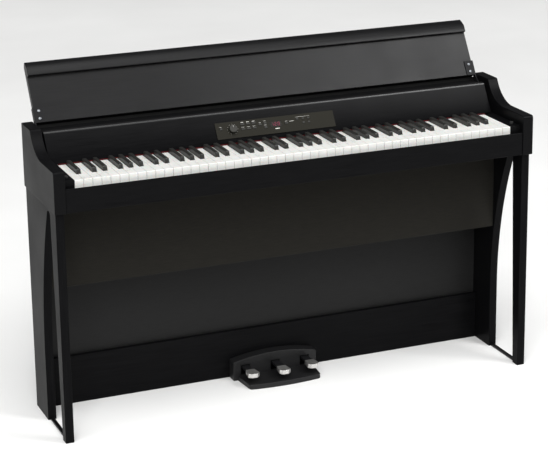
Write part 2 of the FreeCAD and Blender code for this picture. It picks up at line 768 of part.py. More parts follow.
def make_boards():
    """Circuit boards: under the keys, behind the control panel and on the rear cover."""
    rib_top = bed_top + frame_sheet + sensor_rib_high
    contact = board("contact_board", (-keys_half, keys_half),
                    (deep(sensor_rib_front + contact_inset),
                     deep(sensor_rib_front + sensor_rib_wide - contact_inset)),
                    (rib_top, rib_top + contact_thick))
    panel = slope_board("panel_board", (window_x[0] + slip, window_x[1] - slip),
                        (panel_board_in, panel_board_in + circuit_thick),
                        (window_up[0] + slip, window_up[1] - slip))
    rear = deep(body_depth - cover_thick - slip)
    face = rear - circuit_thick
    main_low = bed_top + main_board_low
    main = board("main_board", (main_board_left, main_board_left + main_board_long), (face, rear),
                 (main_low, main_low + main_board_high))
    sink = board("heat_sink", (sink_left, sink_left + sink_long), (face - sink_deep, face),
                 (bed_top + sink_low, bed_top + sink_low + sink_high))
    chip = board("sound_chip", (chip_left, chip_left + chip_wide), (face - chip_deep, face),
                 (bed_top + chip_low, bed_top + chip_low + chip_wide))
    fused = boolean("Fuse", "main_board_sink", main, sink)
    keep(group("circuit_boards", [contact, panel, boolean("Fuse", "main_board_done", fused, chip)]),
         "circuit_boards")


def make_sockets():
    """The socket block in the rear cover: a power inlet and two line sockets."""
    x0, x1 = socket_left, socket_left + socket_long
    z0, z1 = bed_top + socket_low, bed_top + socket_low + socket_high
    block = board("socket_block", (x0, x1), (deep(body_depth - socket_deep), deep(body_depth)),
                  (z0, z1))
    bores = []
    for count, (name, radius) in enumerate((("power_inlet", inlet_radius),
                                            ("left_line", line_radius),
                                            ("right_line", line_radius))):
        bores.append(rod(name, radius, jack_deep + 1, x0 + jack_first + jack_pitch * count,
                         deep(body_depth - jack_deep), (z0 + z1) / 2, (0, 1, 0)))
    keep(boolean("Cut", "rear_sockets", block, group("socket_bores", bores)), "rear_sockets")
    opening = board("socket_opening", (x0 - slip, x1 + slip),
                    (deep(body_depth - cover_thick - 2), deep(body_depth + 2)),
                    (z0 - slip, z1 + slip))
    cover = made.pop([item.Label for item in made].index("rear_cover"))
    cover.Label = "rear_cover_blank"
    keep(boolean("Cut", "rear_cover", cover, opening), "rear_cover")


# ------------------------------------------------------------------ lid
def make_lid():
    """The lid with its thick moulded lip, drawn upright and then leaned back."""
    nose_in = lid_long - lip_from - lip_flat
    tip = lid_long
    outline = [(0, 0), (lid_thick, 0), (lid_thick, tip - lid_edge_drop),
               (lid_thick - lid_edge_back, tip), (lid_edge_front, tip),
               (-lip_shoulder, tip - lid_edge_drop), (-lip_proud, tip - nose_in),
               (-lip_proud, lip_from), (0, lip_from)]
    body = prism("lid_board", "YZ", outline, lid_half * 2)
    place(body, -lid_half, deep(lid_back), lid_low, lid_lean)
    keep(body, "lid_panel")

    down = lid_low - lid_pivot_up
    back = lid_back - lid_pivot_back
    pin_out = -(back * cosine(lid_lean)) + down * sine(lid_lean)
    pin_up = -(back * sine(lid_lean)) - down * cosine(lid_lean)
    arms = []
    screws = []
    for name, side in (("left", -1), ("right", 1)):
        outside = (lid_half + arm_gap + arm_thick) * side
        inside = (lid_half + arm_gap) * side
        low_x = inside if side > 0 else outside
        outline = [(pin_out - arm_boss, pin_up), (pin_out + arm_boss, pin_up),
                   (arm_neck, -arm_drop), (arm_neck, arm_flange_high),
                   (-arm_thick, arm_flange_high), (-arm_thick, -arm_drop)]
        plate = prism("arm_plate_" + name, "YZ", outline, arm_thick,
                      {0: (arm_boss + 0.001, True)})
        place(plate, low_x, deep(lid_back), lid_low, lid_lean)
        foot = doc.addObject("Part::Box", "arm_flange_" + name)
        bind(foot, Length=arm_flange_wide + arm_gap + arm_thick, Width=arm_thick,
             Height=arm_flange_high)
        flange_x = outside - (arm_flange_wide + arm_gap + arm_thick) if side > 0 else outside
        place(foot, flange_x, deep(lid_back) - arm_thick * cosine(lid_lean),
              lid_low + arm_thick * sine(lid_lean), lid_lean)
        arm = boolean("Fuse", "arm_blank_" + name, plate, foot)
        bore = rod("arm_bore_" + name, lid_pin + pin_clear, arm_thick + over * 2,
                   low_x - over, deep(lid_pivot_back), lid_pivot_up, (1, 0, 0))
        arms.append(boolean("Cut", "lid_arm_" + name, arm, bore))
        for row, share in (("low", 0.25), ("high", 0.75)):
            screws.append(lid_screw("%s_%s" % (name, row), side, arm_flange_high * share))
    keep(group("lid_arms", arms), "lid_arms")
    keep(group("lid_screws", screws), "lid_screws")


def leaned_rod(name, radius, x, out, up):
    """A round piece whose axis is square to the leaning lid."""
    bar = doc.addObject("Part::Cylinder", name)
    bind(bar, Radius=radius, Height=out[1] - out[0])
    turn = FreeCAD.Rotation(FreeCAD.Vector(1, 0, 0), -90 - lid_lean.number)
    bar.Placement = FreeCAD.Placement(FreeCAD.Vector(), turn)
    bar.setExpression("Placement.Rotation.Angle", (-(lid_lean + 90)).text)
    place(bar, x, deep(lid_back) + up * sine(lid_lean) + out[0] * cosine(lid_lean),
          lid_low + up * cosine(lid_lean) - out[0] * sine(lid_lean))
    return bar


def lid_screw(name, side, up):
    """A round-headed screw through an arm's flange into the lid."""
    x = (lid_half - arm_flange_wide / 2) * side
    label = "lid_screw_" + name
    head = leaned_rod(label + "_head", screw_head, x,
                      (-(arm_thick + screw_head_high), -arm_thick), up)
    shank = leaned_rod(label + "_shank", screw_shank, x, (-arm_thick - 1, screw_long), up)
    return boolean("Fuse", label, head, shank)


# ------------------------------------------------------------------ stand
def make_side_boards():
    """Side boards: a front post and a rear leg cut from one board, joined at the floor by a bar."""
    sweep_rise = opening_top - leg_straight
    sweep_in = leg_sweep - root(leg_sweep * leg_sweep - sweep_rise * sweep_rise)
    peak_back = (leg_front - sweep_in, opening_top)
    peak_front = (post_head, opening_top)
    outline = [(post_front, 0), (post_foot, 0), peak_front, peak_back, (leg_front, leg_straight),
               (leg_front, 0), (body_depth, 0), (body_depth, stand_high),
               (post_front, stand_high)]
    bars = []
    for name, x in (("left", -(side_inner + side_thick)), ("right", side_inner)):
        body = prism("side_body_" + name, "YZ", outline, side_thick, {3: (leg_sweep, False)})
        round_over(body, "YZ", [peak_back, peak_front], opening_rounding)
        place(body, x, front, 0)
        bar_x = (x + (side_thick - bar_wide) / 2, x + (side_thick + bar_wide) / 2)
        bar_y = (deep(post_foot - bar_tongue), deep(leg_front + bar_tongue))
        groove = board("bar_groove_" + name, bar_x, bar_y, (as_size(0), bar_high))
        keep(boolean("Cut", "side_cut_" + name, body, groove), "side_board_" + name)
        bars.append(board("foot_bar_" + name, bar_x, bar_y, (as_size(0), bar_high)))
    keep(group("foot_bars", bars), "foot_bars")


def make_speakers():
    """The speaker box under the key bed, its cloth-covered grille and its four drivers."""
    span = (-side_inner, side_inner)
    grille_back = grille_front + grille_thick
    keep(board("speaker_grille", span, (deep(grille_front), deep(grille_back)),
               (box_bottom, stand_high)), "speaker_grille")
    shell = board("box_shell", span, (deep(grille_back), deep(pedal_board_back)),
                  (box_bottom, stand_high))
    hollow = board("box_hollow", (-(side_inner - box_wall), side_inner - box_wall),
                   (deep(grille_back + box_wall), deep(pedal_board_back + over)),
                   (box_bottom + box_wall, stand_high - box_wall))
    holes = [hollow]
    drivers = []
    driver_x = side_inner - driver_inset
    tweeter_x = side_inner - tweeter_inset
    seats = [("low_woofer", -driver_x, driver_radius), ("high_woofer", driver_x, driver_radius),
             ("low_tweeter", -tweeter_x, tweeter_radius),
             ("high_tweeter", tweeter_x, tweeter_radius)]
    for name, x, radius in seats:
        holes.append(rod(name + "_hole", radius, box_wall + over * 2, x, deep(grille_back) - over,
                         driver_height, (0, 1, 0)))
        seat = deep(grille_back + box_wall)
        rim = rod(name + "_rim", radius + rim_wide, rim_thick, x, seat, driver_height, (0, 1, 0))
        cone = doc.addObject("Part::Cone", name + "_cone")
        turn = FreeCAD.Rotation(FreeCAD.Vector(0, 0, 1), FreeCAD.Vector(0, 1, 0))
        cone.Placement = FreeCAD.Placement(FreeCAD.Vector(), turn)
        bind(cone, Radius1=radius, Radius2=radius * 0.45, Height=radius * 0.5)
        place(cone, x, seat + rim_thick - 1, driver_height)
        magnet = rod(name + "_magnet", radius * 0.6, radius * 0.4, x, seat + radius * 0.5,
                     driver_height, (0, 1, 0))
        basket = boolean("Fuse", name + "_basket", rim, cone)
        drivers.append(boolean("Fuse", name, basket, magnet))
    keep(boolean("Cut", "speaker_box", shell, group("box_holes", holes)), "speaker_box")
    keep(group("speaker_drivers", drivers), "speaker_drivers")


def make_back():
    """The thin back panel, the pedal board that stands on the floor, and the screws behind them."""
    span = (-side_inner, side_inner)
    back_face = pedal_board_back + panel_back_thick
    keep(board("back_panel", span, (deep(pedal_board_back), deep(back_face)),
               (panel_back_low, stand_high)), "back_panel")
    keep(board("pedal_board", span, (deep(pedal_board_front), deep(pedal_board_back)),
               (as_size(0), pedal_board_high)), "pedal_board")
    screws = []
    low = panel_back_low + screw_inset
    high = stand_high - box_wall / 2
    for column in range(screw_columns):
        x = -side_inner + side_inner * 2 * (column + 0.5) / screw_columns
        for row, z in (("low", low), ("high", high)):
            label = "panel_screw_%s_%d" % (row, column)
            head = rod(label + "_head", screw_head, screw_head_high, x, deep(back_face), z, (0, 1, 0))
            shank = rod(label + "_shank", screw_shank, screw_long + 1,
                        x, deep(back_face - screw_long), z, (0, 1, 0))
            screws.append(boolean("Fuse", label, head, shank))
    keep(group("stand_screws", screws), "stand_screws")


# ------------------------------------------------------------------ pedals
def make_pedal_housing():
    """A moulded tray on the floor with a hood behind it, slotted for the three levers."""
    rise = hood_mid_high - hood_end_high
    crown = (hood_half * hood_half + rise * rise) / (rise * 2)
    hood = prism("hood", "XZ", [(-hood_half, 0), (hood_half, 0), (hood_half, hood_end_high),
                                (-hood_half, hood_end_high)],
                 pedal_board_front - hood_front, {2: (crown, True)})
    place(hood, 0, deep(pedal_board_front), 0)
    bow = (tray_front_half * tray_front_half + tray_bow * tray_bow) / (tray_bow * 2)
    tray = prism("tray", "XY", [(-tray_front_half, tray_front), (tray_front_half, tray_front),
                                (tray_back_half, hood_front + 1), (-tray_back_half, hood_front + 1)],
                 tray_high, {0: (bow, True)})
    round_over(tray, "XY", [(-tray_front_half, tray_front), (tray_front_half, tray_front)],
               tray_rounding)
    place(tray, 0, front, 0)
    whole = boolean("Fuse", "housing_blank", hood, tray)
    cuts = [board("hood_hollow", (-(hood_half - hood_wall), hood_half - hood_wall),
                  (deep(hood_front + hood_wall), deep(pedal_board_front + 1)),
                  (hood_wall, hood_end_high - hood_wall))]
    for name, x in (("left", -pedal_pitch), ("middle", as_size(0)), ("right", pedal_pitch)):
        reach = lever_wide / 2 + pedal_slot_clear
        cuts.append(board("lever_slot_" + name, (x - reach, x + reach),
                          (deep(hood_front - 1), deep(hood_front + hood_wall + 1)),
                          (tray_high + 1, pedal_top + pedal_slot_clear)))
    keep(boolean("Cut", "pedal_housing", whole, group("housing_cuts", cuts)), "pedal_housing")


PEDALS = [("soft", -1, 0), ("sostenuto", 0, 1), ("damper", 1, 0)]


def make_pedals():
    """Each pedal is a steel lever on the shaft with a polished cap over its front end."""
    low = pedal_top - lever_thick
    shaft_up = low + lever_thick / 2
    for name, side, forward in PEDALS:
        x = pedal_pitch * side
        toe = tip_front - middle_tip_proud * forward
        heel = pedal_pivot_back + lever_heel
        lever = board(name + "_bar", (x - lever_wide / 2, x + lever_wide / 2),
                      (deep(toe + tip_wall), deep(heel)), (low, pedal_top))
        bore = rod(name + "_bore", pedal_shaft + pin_clear, lever_wide + 4,
                   x - lever_wide / 2 - 2, deep(pedal_pivot_back), shaft_up, (1, 0, 0))
        keep(boolean("Cut", name + "_lever", lever, bore), "pedal_%s_lever" % name)
        front_half = tip_wide / 2 - tip_corner_wide
        outline = [(-tip_wide / 2, toe + tip_corner_long), (-front_half, toe), (front_half, toe),
                   (tip_wide / 2, toe + tip_corner_long), (tip_back_wide / 2, toe + tip_long),
                   (-tip_back_wide / 2, toe + tip_long)]
        cap = prism(name + "_cap", "XY", outline, tip_thick)
        place(cap, x, front, pedal_top + tip_over - tip_thick)
        pocket = board(name + "_pocket", (x - lever_wide / 2, x + lever_wide / 2),
                       (deep(toe + tip_wall), deep(toe + tip_long) + over), (low, pedal_top))
        keep(boolean("Cut", name + "_tip", cap, pocket), "pedal_%s_tip" % name)


def make_pins():
    """Steel pins: the two that the lid's arms turn on and the shaft through the pedal levers."""
    pins = []
    tip = inner + pin_in_cheek
    root_end = end + pin_end
    for name, x in (("left_pin", -tip), ("right_pin", root_end)):
        pins.append(rod(name, lid_pin, tip - root_end, x, deep(lid_pivot_back), lid_pivot_up,
                        (1, 0, 0)))
    pins.append(rod("pedal_shaft_bar", pedal_shaft, (hood_half - hood_wall) * 2,
                    -(hood_half - hood_wall), deep(pedal_pivot_back), pedal_top - lever_thick / 2,
                    (1, 0, 0)))
    keep(group("pivot_pins", pins), "pivot_pins")


make_cheeks()
make_case_boards()
make_fascia()
make_control_panel()
make_white_keys()
make_black_keys()
make_key_frame()
make_boards()
make_sockets()
make_lid()
make_side_boards()
make_speakers()
make_back()
make_pedal_housing()
make_pedals()
make_pins()

# ------------------------------------------------------------------ check and write
doc.recompute()
faults = [item.Name for item in doc.Objects if "Invalid" in item.State or "Error" in item.State]
for item in made:
    if item.Shape.isNull() or not item.Shape.isValid():
        faults.append("bad shape: " + item.Label)
if faults:
    raise RuntimeError("; ".join(faults))

os.makedirs("parts", exist_ok=True)
for item in made:
    item.Shape.exportStep("parts/%s.step" % item.Label)
print("nodes", len(made))
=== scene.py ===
import math

import bmesh
import bpy
from mathutils import Matrix, Vector


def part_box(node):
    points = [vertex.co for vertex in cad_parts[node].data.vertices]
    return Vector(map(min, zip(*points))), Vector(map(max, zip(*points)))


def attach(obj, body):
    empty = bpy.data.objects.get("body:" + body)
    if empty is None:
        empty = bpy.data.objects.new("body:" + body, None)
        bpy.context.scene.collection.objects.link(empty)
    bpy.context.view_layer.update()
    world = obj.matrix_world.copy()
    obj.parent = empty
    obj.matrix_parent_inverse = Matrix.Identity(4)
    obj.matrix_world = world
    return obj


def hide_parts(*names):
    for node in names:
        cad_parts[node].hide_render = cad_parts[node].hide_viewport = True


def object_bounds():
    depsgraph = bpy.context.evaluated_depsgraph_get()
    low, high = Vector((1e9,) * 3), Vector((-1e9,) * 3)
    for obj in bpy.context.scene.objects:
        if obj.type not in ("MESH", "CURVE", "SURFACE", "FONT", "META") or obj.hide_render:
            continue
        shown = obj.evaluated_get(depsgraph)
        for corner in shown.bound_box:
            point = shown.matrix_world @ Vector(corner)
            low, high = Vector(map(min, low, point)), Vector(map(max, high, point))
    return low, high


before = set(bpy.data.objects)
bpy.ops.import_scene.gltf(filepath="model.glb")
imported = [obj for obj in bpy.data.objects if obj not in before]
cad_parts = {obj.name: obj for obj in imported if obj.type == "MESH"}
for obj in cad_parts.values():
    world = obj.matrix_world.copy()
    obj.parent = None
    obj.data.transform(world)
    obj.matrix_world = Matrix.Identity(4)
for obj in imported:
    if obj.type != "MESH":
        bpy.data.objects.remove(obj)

cad_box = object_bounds()


# ---------------------------------------------------------------------------------------------
# Side boards and foot bars. Each side board is one upright board with a gap between its front
# post and its rear leg. The bars tie the two at the floor. All are board under satin black
# lacquer, with the edges eased by sanding before the last coat.

MM = 0.001
SHARP = math.radians(30)
SAME_POINT = 0.002 * MM
NEAR = 0.1 * MM


def linear(hex_colour):
    """An sRGB hex colour as the linear colour that a shader takes."""
    parts = [int(hex_colour[i:i + 2], 16) / 255 for i in (1, 3, 5)]
    return [c / 12.92 if c <= 0.04045 else ((c + 0.055) / 1.055) ** 2.4 for c in parts] + [1.0]


def add_node(tree, kind, inputs=None, **settings):
    """Adds a node with its settings, and joins or sets its inputs by name or number."""
    node = tree.nodes.new(kind)
    for name, value in settings.items():
        setattr(node, name, value)
    for name, value in (inputs or {}).items():
        if isinstance(value, bpy.types.NodeSocket):
            tree.links.new(value, node.inputs[name])
        else:
            node.inputs[name].default_value = value
    return node


def new_material(name, **numbers):
    """A material with one shader, whose even numbers are set on the shader's own sockets."""
    material = bpy.data.materials.new(name)
    material.use_nodes = True
    shader = material.node_tree.nodes["Principled BSDF"]
    for socket, value in numbers.items():
        shader.inputs[socket.replace("_", " ")].default_value = value
    return material, material.node_tree, shader


def pattern(tree, size, detail=3.0, roughness=0.55):
    """A noise whose blotches measure size along X, Y and Z, in metres, as a value round 0.5."""
    point = add_node(tree, "ShaderNodeTexCoord").outputs["Object"]
    scaled = add_node(tree, "ShaderNodeMapping",
                      {"Vector": point, "Scale": [1 / length for length in size]})
    noise = add_node(tree, "ShaderNodeTexNoise",
                     {"Vector": scaled.outputs[0], "Scale": 1.0, "Detail": detail,
                      "Roughness": roughness})
    return noise.outputs[0]


def spread(tree, value, low, high):
    """The noise's middle range, stretched to run from low to high."""
    return add_node(tree, "ShaderNodeMapRange",
                    {"Value": value, "From Min": 0.3, "From Max": 0.7,
                     "To Min": low, "To Max": high}).outputs[0]


def between(tree, value, first, second):
    """The colour from hex first to hex second as the value goes from 0 to 1."""
    mix = add_node(tree, "ShaderNodeMix", {0: value, 6: linear(first), 7: linear(second)},
                   data_type="RGBA")
    return mix.outputs[2]


def relief(tree, shader, value, depth):
    """Raises the surface by depth, in metres, where the value is high."""
    bump = add_node(tree, "ShaderNodeBump", {"Height": value, "Distance": depth, "Strength": 1.0})
    tree.links.new(bump.outputs[0], shader.inputs["Normal"])


def textured(name, colours, size, gloss, depth, detail=3.0, **numbers):
    """A material whose colour, roughness and relief all follow one pattern of that size."""
    material, tree, shader = new_material(name, **numbers)
    value = pattern(tree, size, detail)
    share = spread(tree, value, 0, 1)
    tree.links.new(between(tree, share, *colours), shader.inputs["Base Color"])
    tree.links.new(spread(tree, value, *gloss), shader.inputs["Roughness"])
    relief(tree, shader, value, depth)
    return material


def lacquer(name, along, shine=0.12):
    """Satin nitrocellulose lacquer, black, over open-pored ash: soft wide reflections that break
    up in fine lines along the grain. The pores are 0.3 mm wide and are drawn 2.4 mm wide, so
    that they show. A slow waviness of the sanded board moves the gloss about. along is the
    grain's axis, 0 for X, 1 for Y or 2 for Z, and shine is how brightly the board reflects."""
    material, tree, shader = new_material(name, IOR=1.5, Specular_IOR_Level=shine)
    pore = [2.4 * MM] * 3
    pore[along] = 90 * MM
    grain = pattern(tree, pore, 4.0, 0.6)
    cloud = pattern(tree, [160 * MM] * 3, 2.0)
    tree.links.new(between(tree, spread(tree, grain, 0, 1), "#080809", "#111112"),
                   shader.inputs["Base Color"])
    gloss = add_node(tree, "ShaderNodeMath", {0: spread(tree, grain, -0.03, 0.03),
                                              1: spread(tree, cloud, 0.33, 0.4)})
    tree.links.new(gloss.outputs[0], shader.inputs["Roughness"])
    relief(tree, shader, grain, 0.025 * MM)
    return material


lacquer_upright = lacquer("black_lacquer_upright_grain", 2, 0.035)
lacquer_across = lacquer("black_lacquer_cross_grain", 0, 0.19)
lacquer_dull = lacquer("dull_black_lacquer_cross_grain", 0, 0.04)


def merged(node):
    """The CAD node's faces as a new bmesh, with its points joined and its flat faces whole."""
    shape = bmesh.new()
    shape.from_mesh(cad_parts[node].data)
    bmesh.ops.remove_doubles(shape, verts=shape.verts, dist=SAME_POINT)
    bmesh.ops.dissolve_limit(shape, angle_limit=math.radians(0.4), verts=shape.verts,
                             edges=shape.edges)
    return shape


def new_piece(name, shape):
    """A bmesh as a smooth-shaded object at the origin."""
    data = bpy.data.meshes.new(name)
    shape.to_mesh(data)
    shape.free()
    data.shade_smooth()
    piece = bpy.data.objects.new(name, data)
    bpy.context.scene.collection.objects.link(piece)
    return piece


def settle(piece):
    """Turns the piece's modifiers into plain mesh."""
    graph = bpy.context.evaluated_depsgraph_get()
    plain = bpy.data.meshes.new_from_object(piece.evaluated_get(graph), depsgraph=graph)
    piece.modifiers.clear()
    piece.data = plain
    return piece


def ease(name, shape, width, steps=3):
    """Rounds the sharp edges of the shape. width is one size, or a function of the edge."""
    size_of = width if callable(width) else lambda edge: width
    weight = shape.edges.layers.float.new("bevel_weight_edge")
    sharp = [e for e in shape.edges if len(e.link_faces) == 2 and e.calc_face_angle() > SHARP]
    sizes = [size_of(edge) for edge in sharp]
    widest = max(sizes)
    for edge, size in zip(sharp, sizes):
        edge[weight] = size / widest
    finished = new_piece(name, shape)
    bevel = finished.modifiers.new("eased edges", "BEVEL")
    bevel.width = widest
    bevel.segments = steps
    bevel.limit_method = "WEIGHT"
    flat = finished.modifiers.new("flat faces stay flat", "WEIGHTED_NORMAL")
    flat.mode = "FACE_AREA"
    flat.weight = 100
    return settle(finished)


def place(piece, material, slot, body, *nodes):
    """Gives a piece its finish and the body that it moves with, in place of those CAD nodes."""
    piece.data.materials.clear()
    piece.data.materials.append(material)
    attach(piece, body)
    if nodes:
        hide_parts(*nodes)
    return piece


def eased_copy(name, node, material, slot, width, body="case", steps=3):
    """The CAD node again, with its edges rounded by width, in its own finish."""
    return place(ease(name, merged(node), width, steps), material, slot, body, node)


LACQUERED_EDGE = 1.2 * MM
BAR_EDGE = 0.8 * MM

for side in ("left", "right"):
    eased_copy(f"stand_side_{side}", f"side_board_{side}", lacquer_upright, "case_lacquer",
               LACQUERED_EDGE)
eased_copy("stand_foot_bars", "foot_bars", lacquer_across, "case_lacquer", BAR_EDGE)


# ---------------------------------------------------------------------------------------------
# Back panel and pedal board. Thin hardboard under a dark foil closes the stand's back. A
# thicker board at the floor, lacquered and rubbed dull, carries the pedals.

FOIL_EDGE = 0.5 * MM

foil_board = textured(
    # Printed melamine foil on hardboard: an even, dull, slightly pitted dark grey.
    "dark_foil_board", ("#181818", "#1f1f1f"), [30 * MM, 4 * MM, 3 * MM], (0.5, 0.62), 0.03 * MM,
    IOR=1.5, Specular_IOR_Level=0.15)

eased_copy("stand_back_panel", "back_panel", foil_board, "back_board", FOIL_EDGE)
eased_copy("stand_pedal_board", "pedal_board", lacquer_dull, "case_lacquer", LACQUERED_EDGE)


# ---------------------------------------------------------------------------------------------
# Cheeks. The two thick ends that hold the keyboard, shaped with an S-curve from the low front
# to the high back, and lacquered with the grain along them.

CHEEK_EDGE = 1.8 * MM

lacquer_lengthways = lacquer("black_lacquer_lengthways_grain", 1, 0.05)

for side in ("left", "right"):
    eased_copy(f"end_cheek_{side}", f"cheek_{side}", lacquer_lengthways, "case_lacquer",
               CHEEK_EDGE, steps=4)


# ---------------------------------------------------------------------------------------------
# Key bed, front rail and end blocks. The bed is the board under the keys. The rail closes its
# front, and a block fills the gap at each end of the keyboard.

PAINTED_EDGE = 0.6 * MM
RAIL_EDGE = 2.0 * MM
BLOCK_EDGE = 1.0 * MM

painted_board = textured(
    # Black emulsion rolled on fibreboard: dead flat, with the roller's fine stipple.
    "painted_board", ("#151412", "#1c1b19"), [3 * MM] * 3, (0.6, 0.72), 0.08 * MM, IOR=1.5,
    Specular_IOR_Level=0.15)

eased_copy("keyboard_bed", "key_bed", painted_board, "inner_board", PAINTED_EDGE)
eased_copy("keyboard_front_rail", "front_rail", lacquer_dull, "case_lacquer", RAIL_EDGE, steps=4)
eased_copy("keyboard_end_blocks", "key_end_blocks", lacquer_lengthways, "case_lacquer",
           BLOCK_EDGE)


# ---------------------------------------------------------------------------------------------
# Speaker box, drivers and cloth front. A glued box under the bed holds two woofers and two
# tweeters. Its front is a board wrapped in stretched speaker cloth and pressed into place.

CLOTH_THICK = 0.5 * MM
CLOTH_TURN = 2.5 * MM
CLOTH_CLEAR = 0.1 * MM
CONE_EDGE = 0.8 * MM
WEAVE_PITCH = 2.0 * MM

driver_paper = textured(
    # Pressed paper pulp, dyed black: fibrous, dull, with a felted relief.
    "driver_paper", ("#1d1c1b", "#2a2826"), [1.5 * MM] * 3, (0.75, 0.9), 0.1 * MM, IOR=1.45)

eased_copy("speaker_case", "speaker_box", painted_board, "inner_board", PAINTED_EDGE)
eased_copy("speaker_cones", "speaker_drivers", driver_paper, "driver_paper", CONE_EDGE)


def weave(name, dark, light, pitch, depth, **numbers):
    """A plain weave in the X-Z plane: warp and weft pass over each other in turn."""
    material, tree, shader = new_material(name, **numbers)
    point = add_node(tree, "ShaderNodeTexCoord").outputs["Object"]
    axes = add_node(tree, "ShaderNodeSeparateXYZ", {0: point})
    waves = []
    for axis in ("X", "Z"):
        turn = add_node(tree, "ShaderNodeMath", {0: axes.outputs[axis], 1: math.pi / pitch},
                        operation="MULTIPLY")
        waves.append(add_node(tree, "ShaderNodeMath", {0: turn.outputs[0]}, operation="SINE"))
    over = add_node(tree, "ShaderNodeMath", {0: waves[0].outputs[0], 1: waves[1].outputs[0]},
                    operation="MULTIPLY")
    height = add_node(tree, "ShaderNodeMapRange",
                      {"Value": over.outputs[0], "From Min": -1.0, "From Max": 1.0})
    slub = pattern(tree, [26 * MM, 26 * MM, 2 * MM], 3.0)
    tone = add_node(tree, "ShaderNodeMath",
                    {0: height.outputs[0], 1: spread(tree, slub, 0.2, 1.0)}, operation="MULTIPLY")
    tree.links.new(between(tree, tone.outputs[0], dark, light), shader.inputs["Base Color"])
    relief(tree, shader, height.outputs[0], depth)
    return material


speaker_cloth = weave(
    # Polyester speaker cloth, brown-black: open plain weave, dull, with slubs along the weft.
    # Its threads are 0.6 mm apart and are drawn 2 mm apart, so that they show.
    "speaker_cloth", "#141310", "#272520", WEAVE_PITCH, 0.25 * MM,
    Roughness=0.85, IOR=1.5, Specular_IOR_Level=0.15, Sheen_Weight=0.03, Sheen_Roughness=0.5)


def slab(low, high):
    """A plain block from one corner to the other, to be worked on."""
    shape = bmesh.new()
    middle = (low + high) / 2
    scale = Matrix.Diagonal([*(high - low), 1.0])
    bmesh.ops.create_cube(shape, size=1.0, matrix=Matrix.Translation(middle) @ scale)
    return shape


grille_low, grille_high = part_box("speaker_grille")
under_cloth = CLOTH_THICK + CLOTH_CLEAR
inset = Vector([under_cloth, 0, under_cloth])
board_low = grille_low + inset + Vector([0, under_cloth, 0])
place(ease("speaker_front_board", slab(board_low, grille_high - inset), CLOTH_TURN, 4),
      painted_board, "inner_board", "case", "speaker_grille")

rim = Vector([CLOTH_CLEAR, 0, CLOTH_CLEAR])
wrap = slab(grille_low + rim, grille_high - rim)
bmesh.ops.delete(wrap, geom=[f for f in wrap.faces if f.normal.y > 0.9], context="FACES_ONLY")
cloth = ease("speaker_cloth_front", wrap, CLOTH_TURN, 5)
thickness = cloth.modifiers.new("cloth thickness", "SOLIDIFY")
thickness.thickness = CLOTH_THICK
thickness.offset = -1.0
settle(cloth)
place(cloth, speaker_cloth, "speaker_cloth", "case")


# ---------------------------------------------------------------------------------------------
# Key frame and circuit boards. A folded steel tray carries the rod that every key turns on.
# The main board stands behind the keys and the panel's board lies under the fascia.

SHEET_EDGE = 0.4 * MM
CIRCUIT_EDGE = 0.2 * MM

chassis_steel = textured(
    # Galvanised sheet steel: pale grey, with dull and bright spangles about 9 mm across.
    "chassis_steel", ("#8d9092", "#a9acae"), [9 * MM] * 3, (0.38, 0.55), 0.01 * MM, 1.0,
    Metallic=1.0)
circuit_board = textured(
    # Glass-epoxy board under green solder mask: glossy, with copper tracks as paler lines.
    "circuit_board", ("#0d3a22", "#1a5a36"), [14 * MM, 1.6 * MM, 1.6 * MM], (0.3, 0.45),
    0.03 * MM, 0.0, IOR=1.55)

eased_copy("key_chassis", "key_frame", chassis_steel, "chassis_steel", SHEET_EDGE)
eased_copy("electronics", "circuit_boards", circuit_board, "circuit", CIRCUIT_EDGE)


# ---------------------------------------------------------------------------------------------
# Keys. White keys have a moulded acrylic cap that drops over the front, with its front edge
# rounded for the finger. Black keys are moulded narrower at the top and sloped at the front.

WHITE_NOSE_EDGE = 1.6 * MM
WHITE_TOP_EDGE = 0.7 * MM
WHITE_FOOT_EDGE = 0.3 * MM
BLACK_TOP_EDGE = 2.2 * MM
BLACK_FOOT_EDGE = 0.4 * MM

keytop_white = textured(
    # Cast acrylic keytop, satin polished: bright warm white with a little depth below it.
    "white_keytop_acrylic", ("#cfcfcb", "#d8d8d5"), [40 * MM] * 3, (0.26, 0.34), 0.01 * MM,
    IOR=1.49, Subsurface_Weight=0.08, Subsurface_Scale=1.5 * MM)
keytop_black = textured(
    # Ebony-look resin with a fine moulded grain along the key: charcoal, silky, not glossy.
    "black_keytop_resin", ("#1c1c1b", "#292927"), [0.9 * MM, 30 * MM, 0.9 * MM], (0.32, 0.44),
    0.03 * MM, IOR=1.5)

white_low, white_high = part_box("keys_c")
black_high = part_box("keys_c_sharp")[1]


def white_edge(edge):
    """Rounds a white key most where its top turns down at the front."""
    middle = (edge.verts[0].co + edge.verts[1].co) / 2
    if middle.z < white_high.z - NEAR:
        return WHITE_FOOT_EDGE
    return WHITE_NOSE_EDGE if middle.y < white_low.y + NEAR else WHITE_TOP_EDGE


def black_edge(edge):
    """Rounds a black key's top and leaves its foot nearly square."""
    middle = (edge.verts[0].co + edge.verts[1].co) / 2
    upper_half = middle.z > (white_high.z + black_high.z) / 2
    return BLACK_TOP_EDGE if upper_half else BLACK_FOOT_EDGE


for note in "cdefgab":
    eased_copy(f"white_keys_{note}", f"keys_{note}", keytop_white, "white_key", white_edge,
               f"keys_{note}", 4)
for note in "cdfga":
    eased_copy(f"black_keys_{note}", f"keys_{note}_sharp", keytop_black, "black_key", black_edge,
               f"keys_{note}_sharp", 4)


# ---------------------------------------------------------------------------------------------
# Felt line. A strip of pressed wool felt, glued to the fascia's foot, that closes the gap
# behind the keys and keeps dust out.

FELT_EDGE = 0.8 * MM

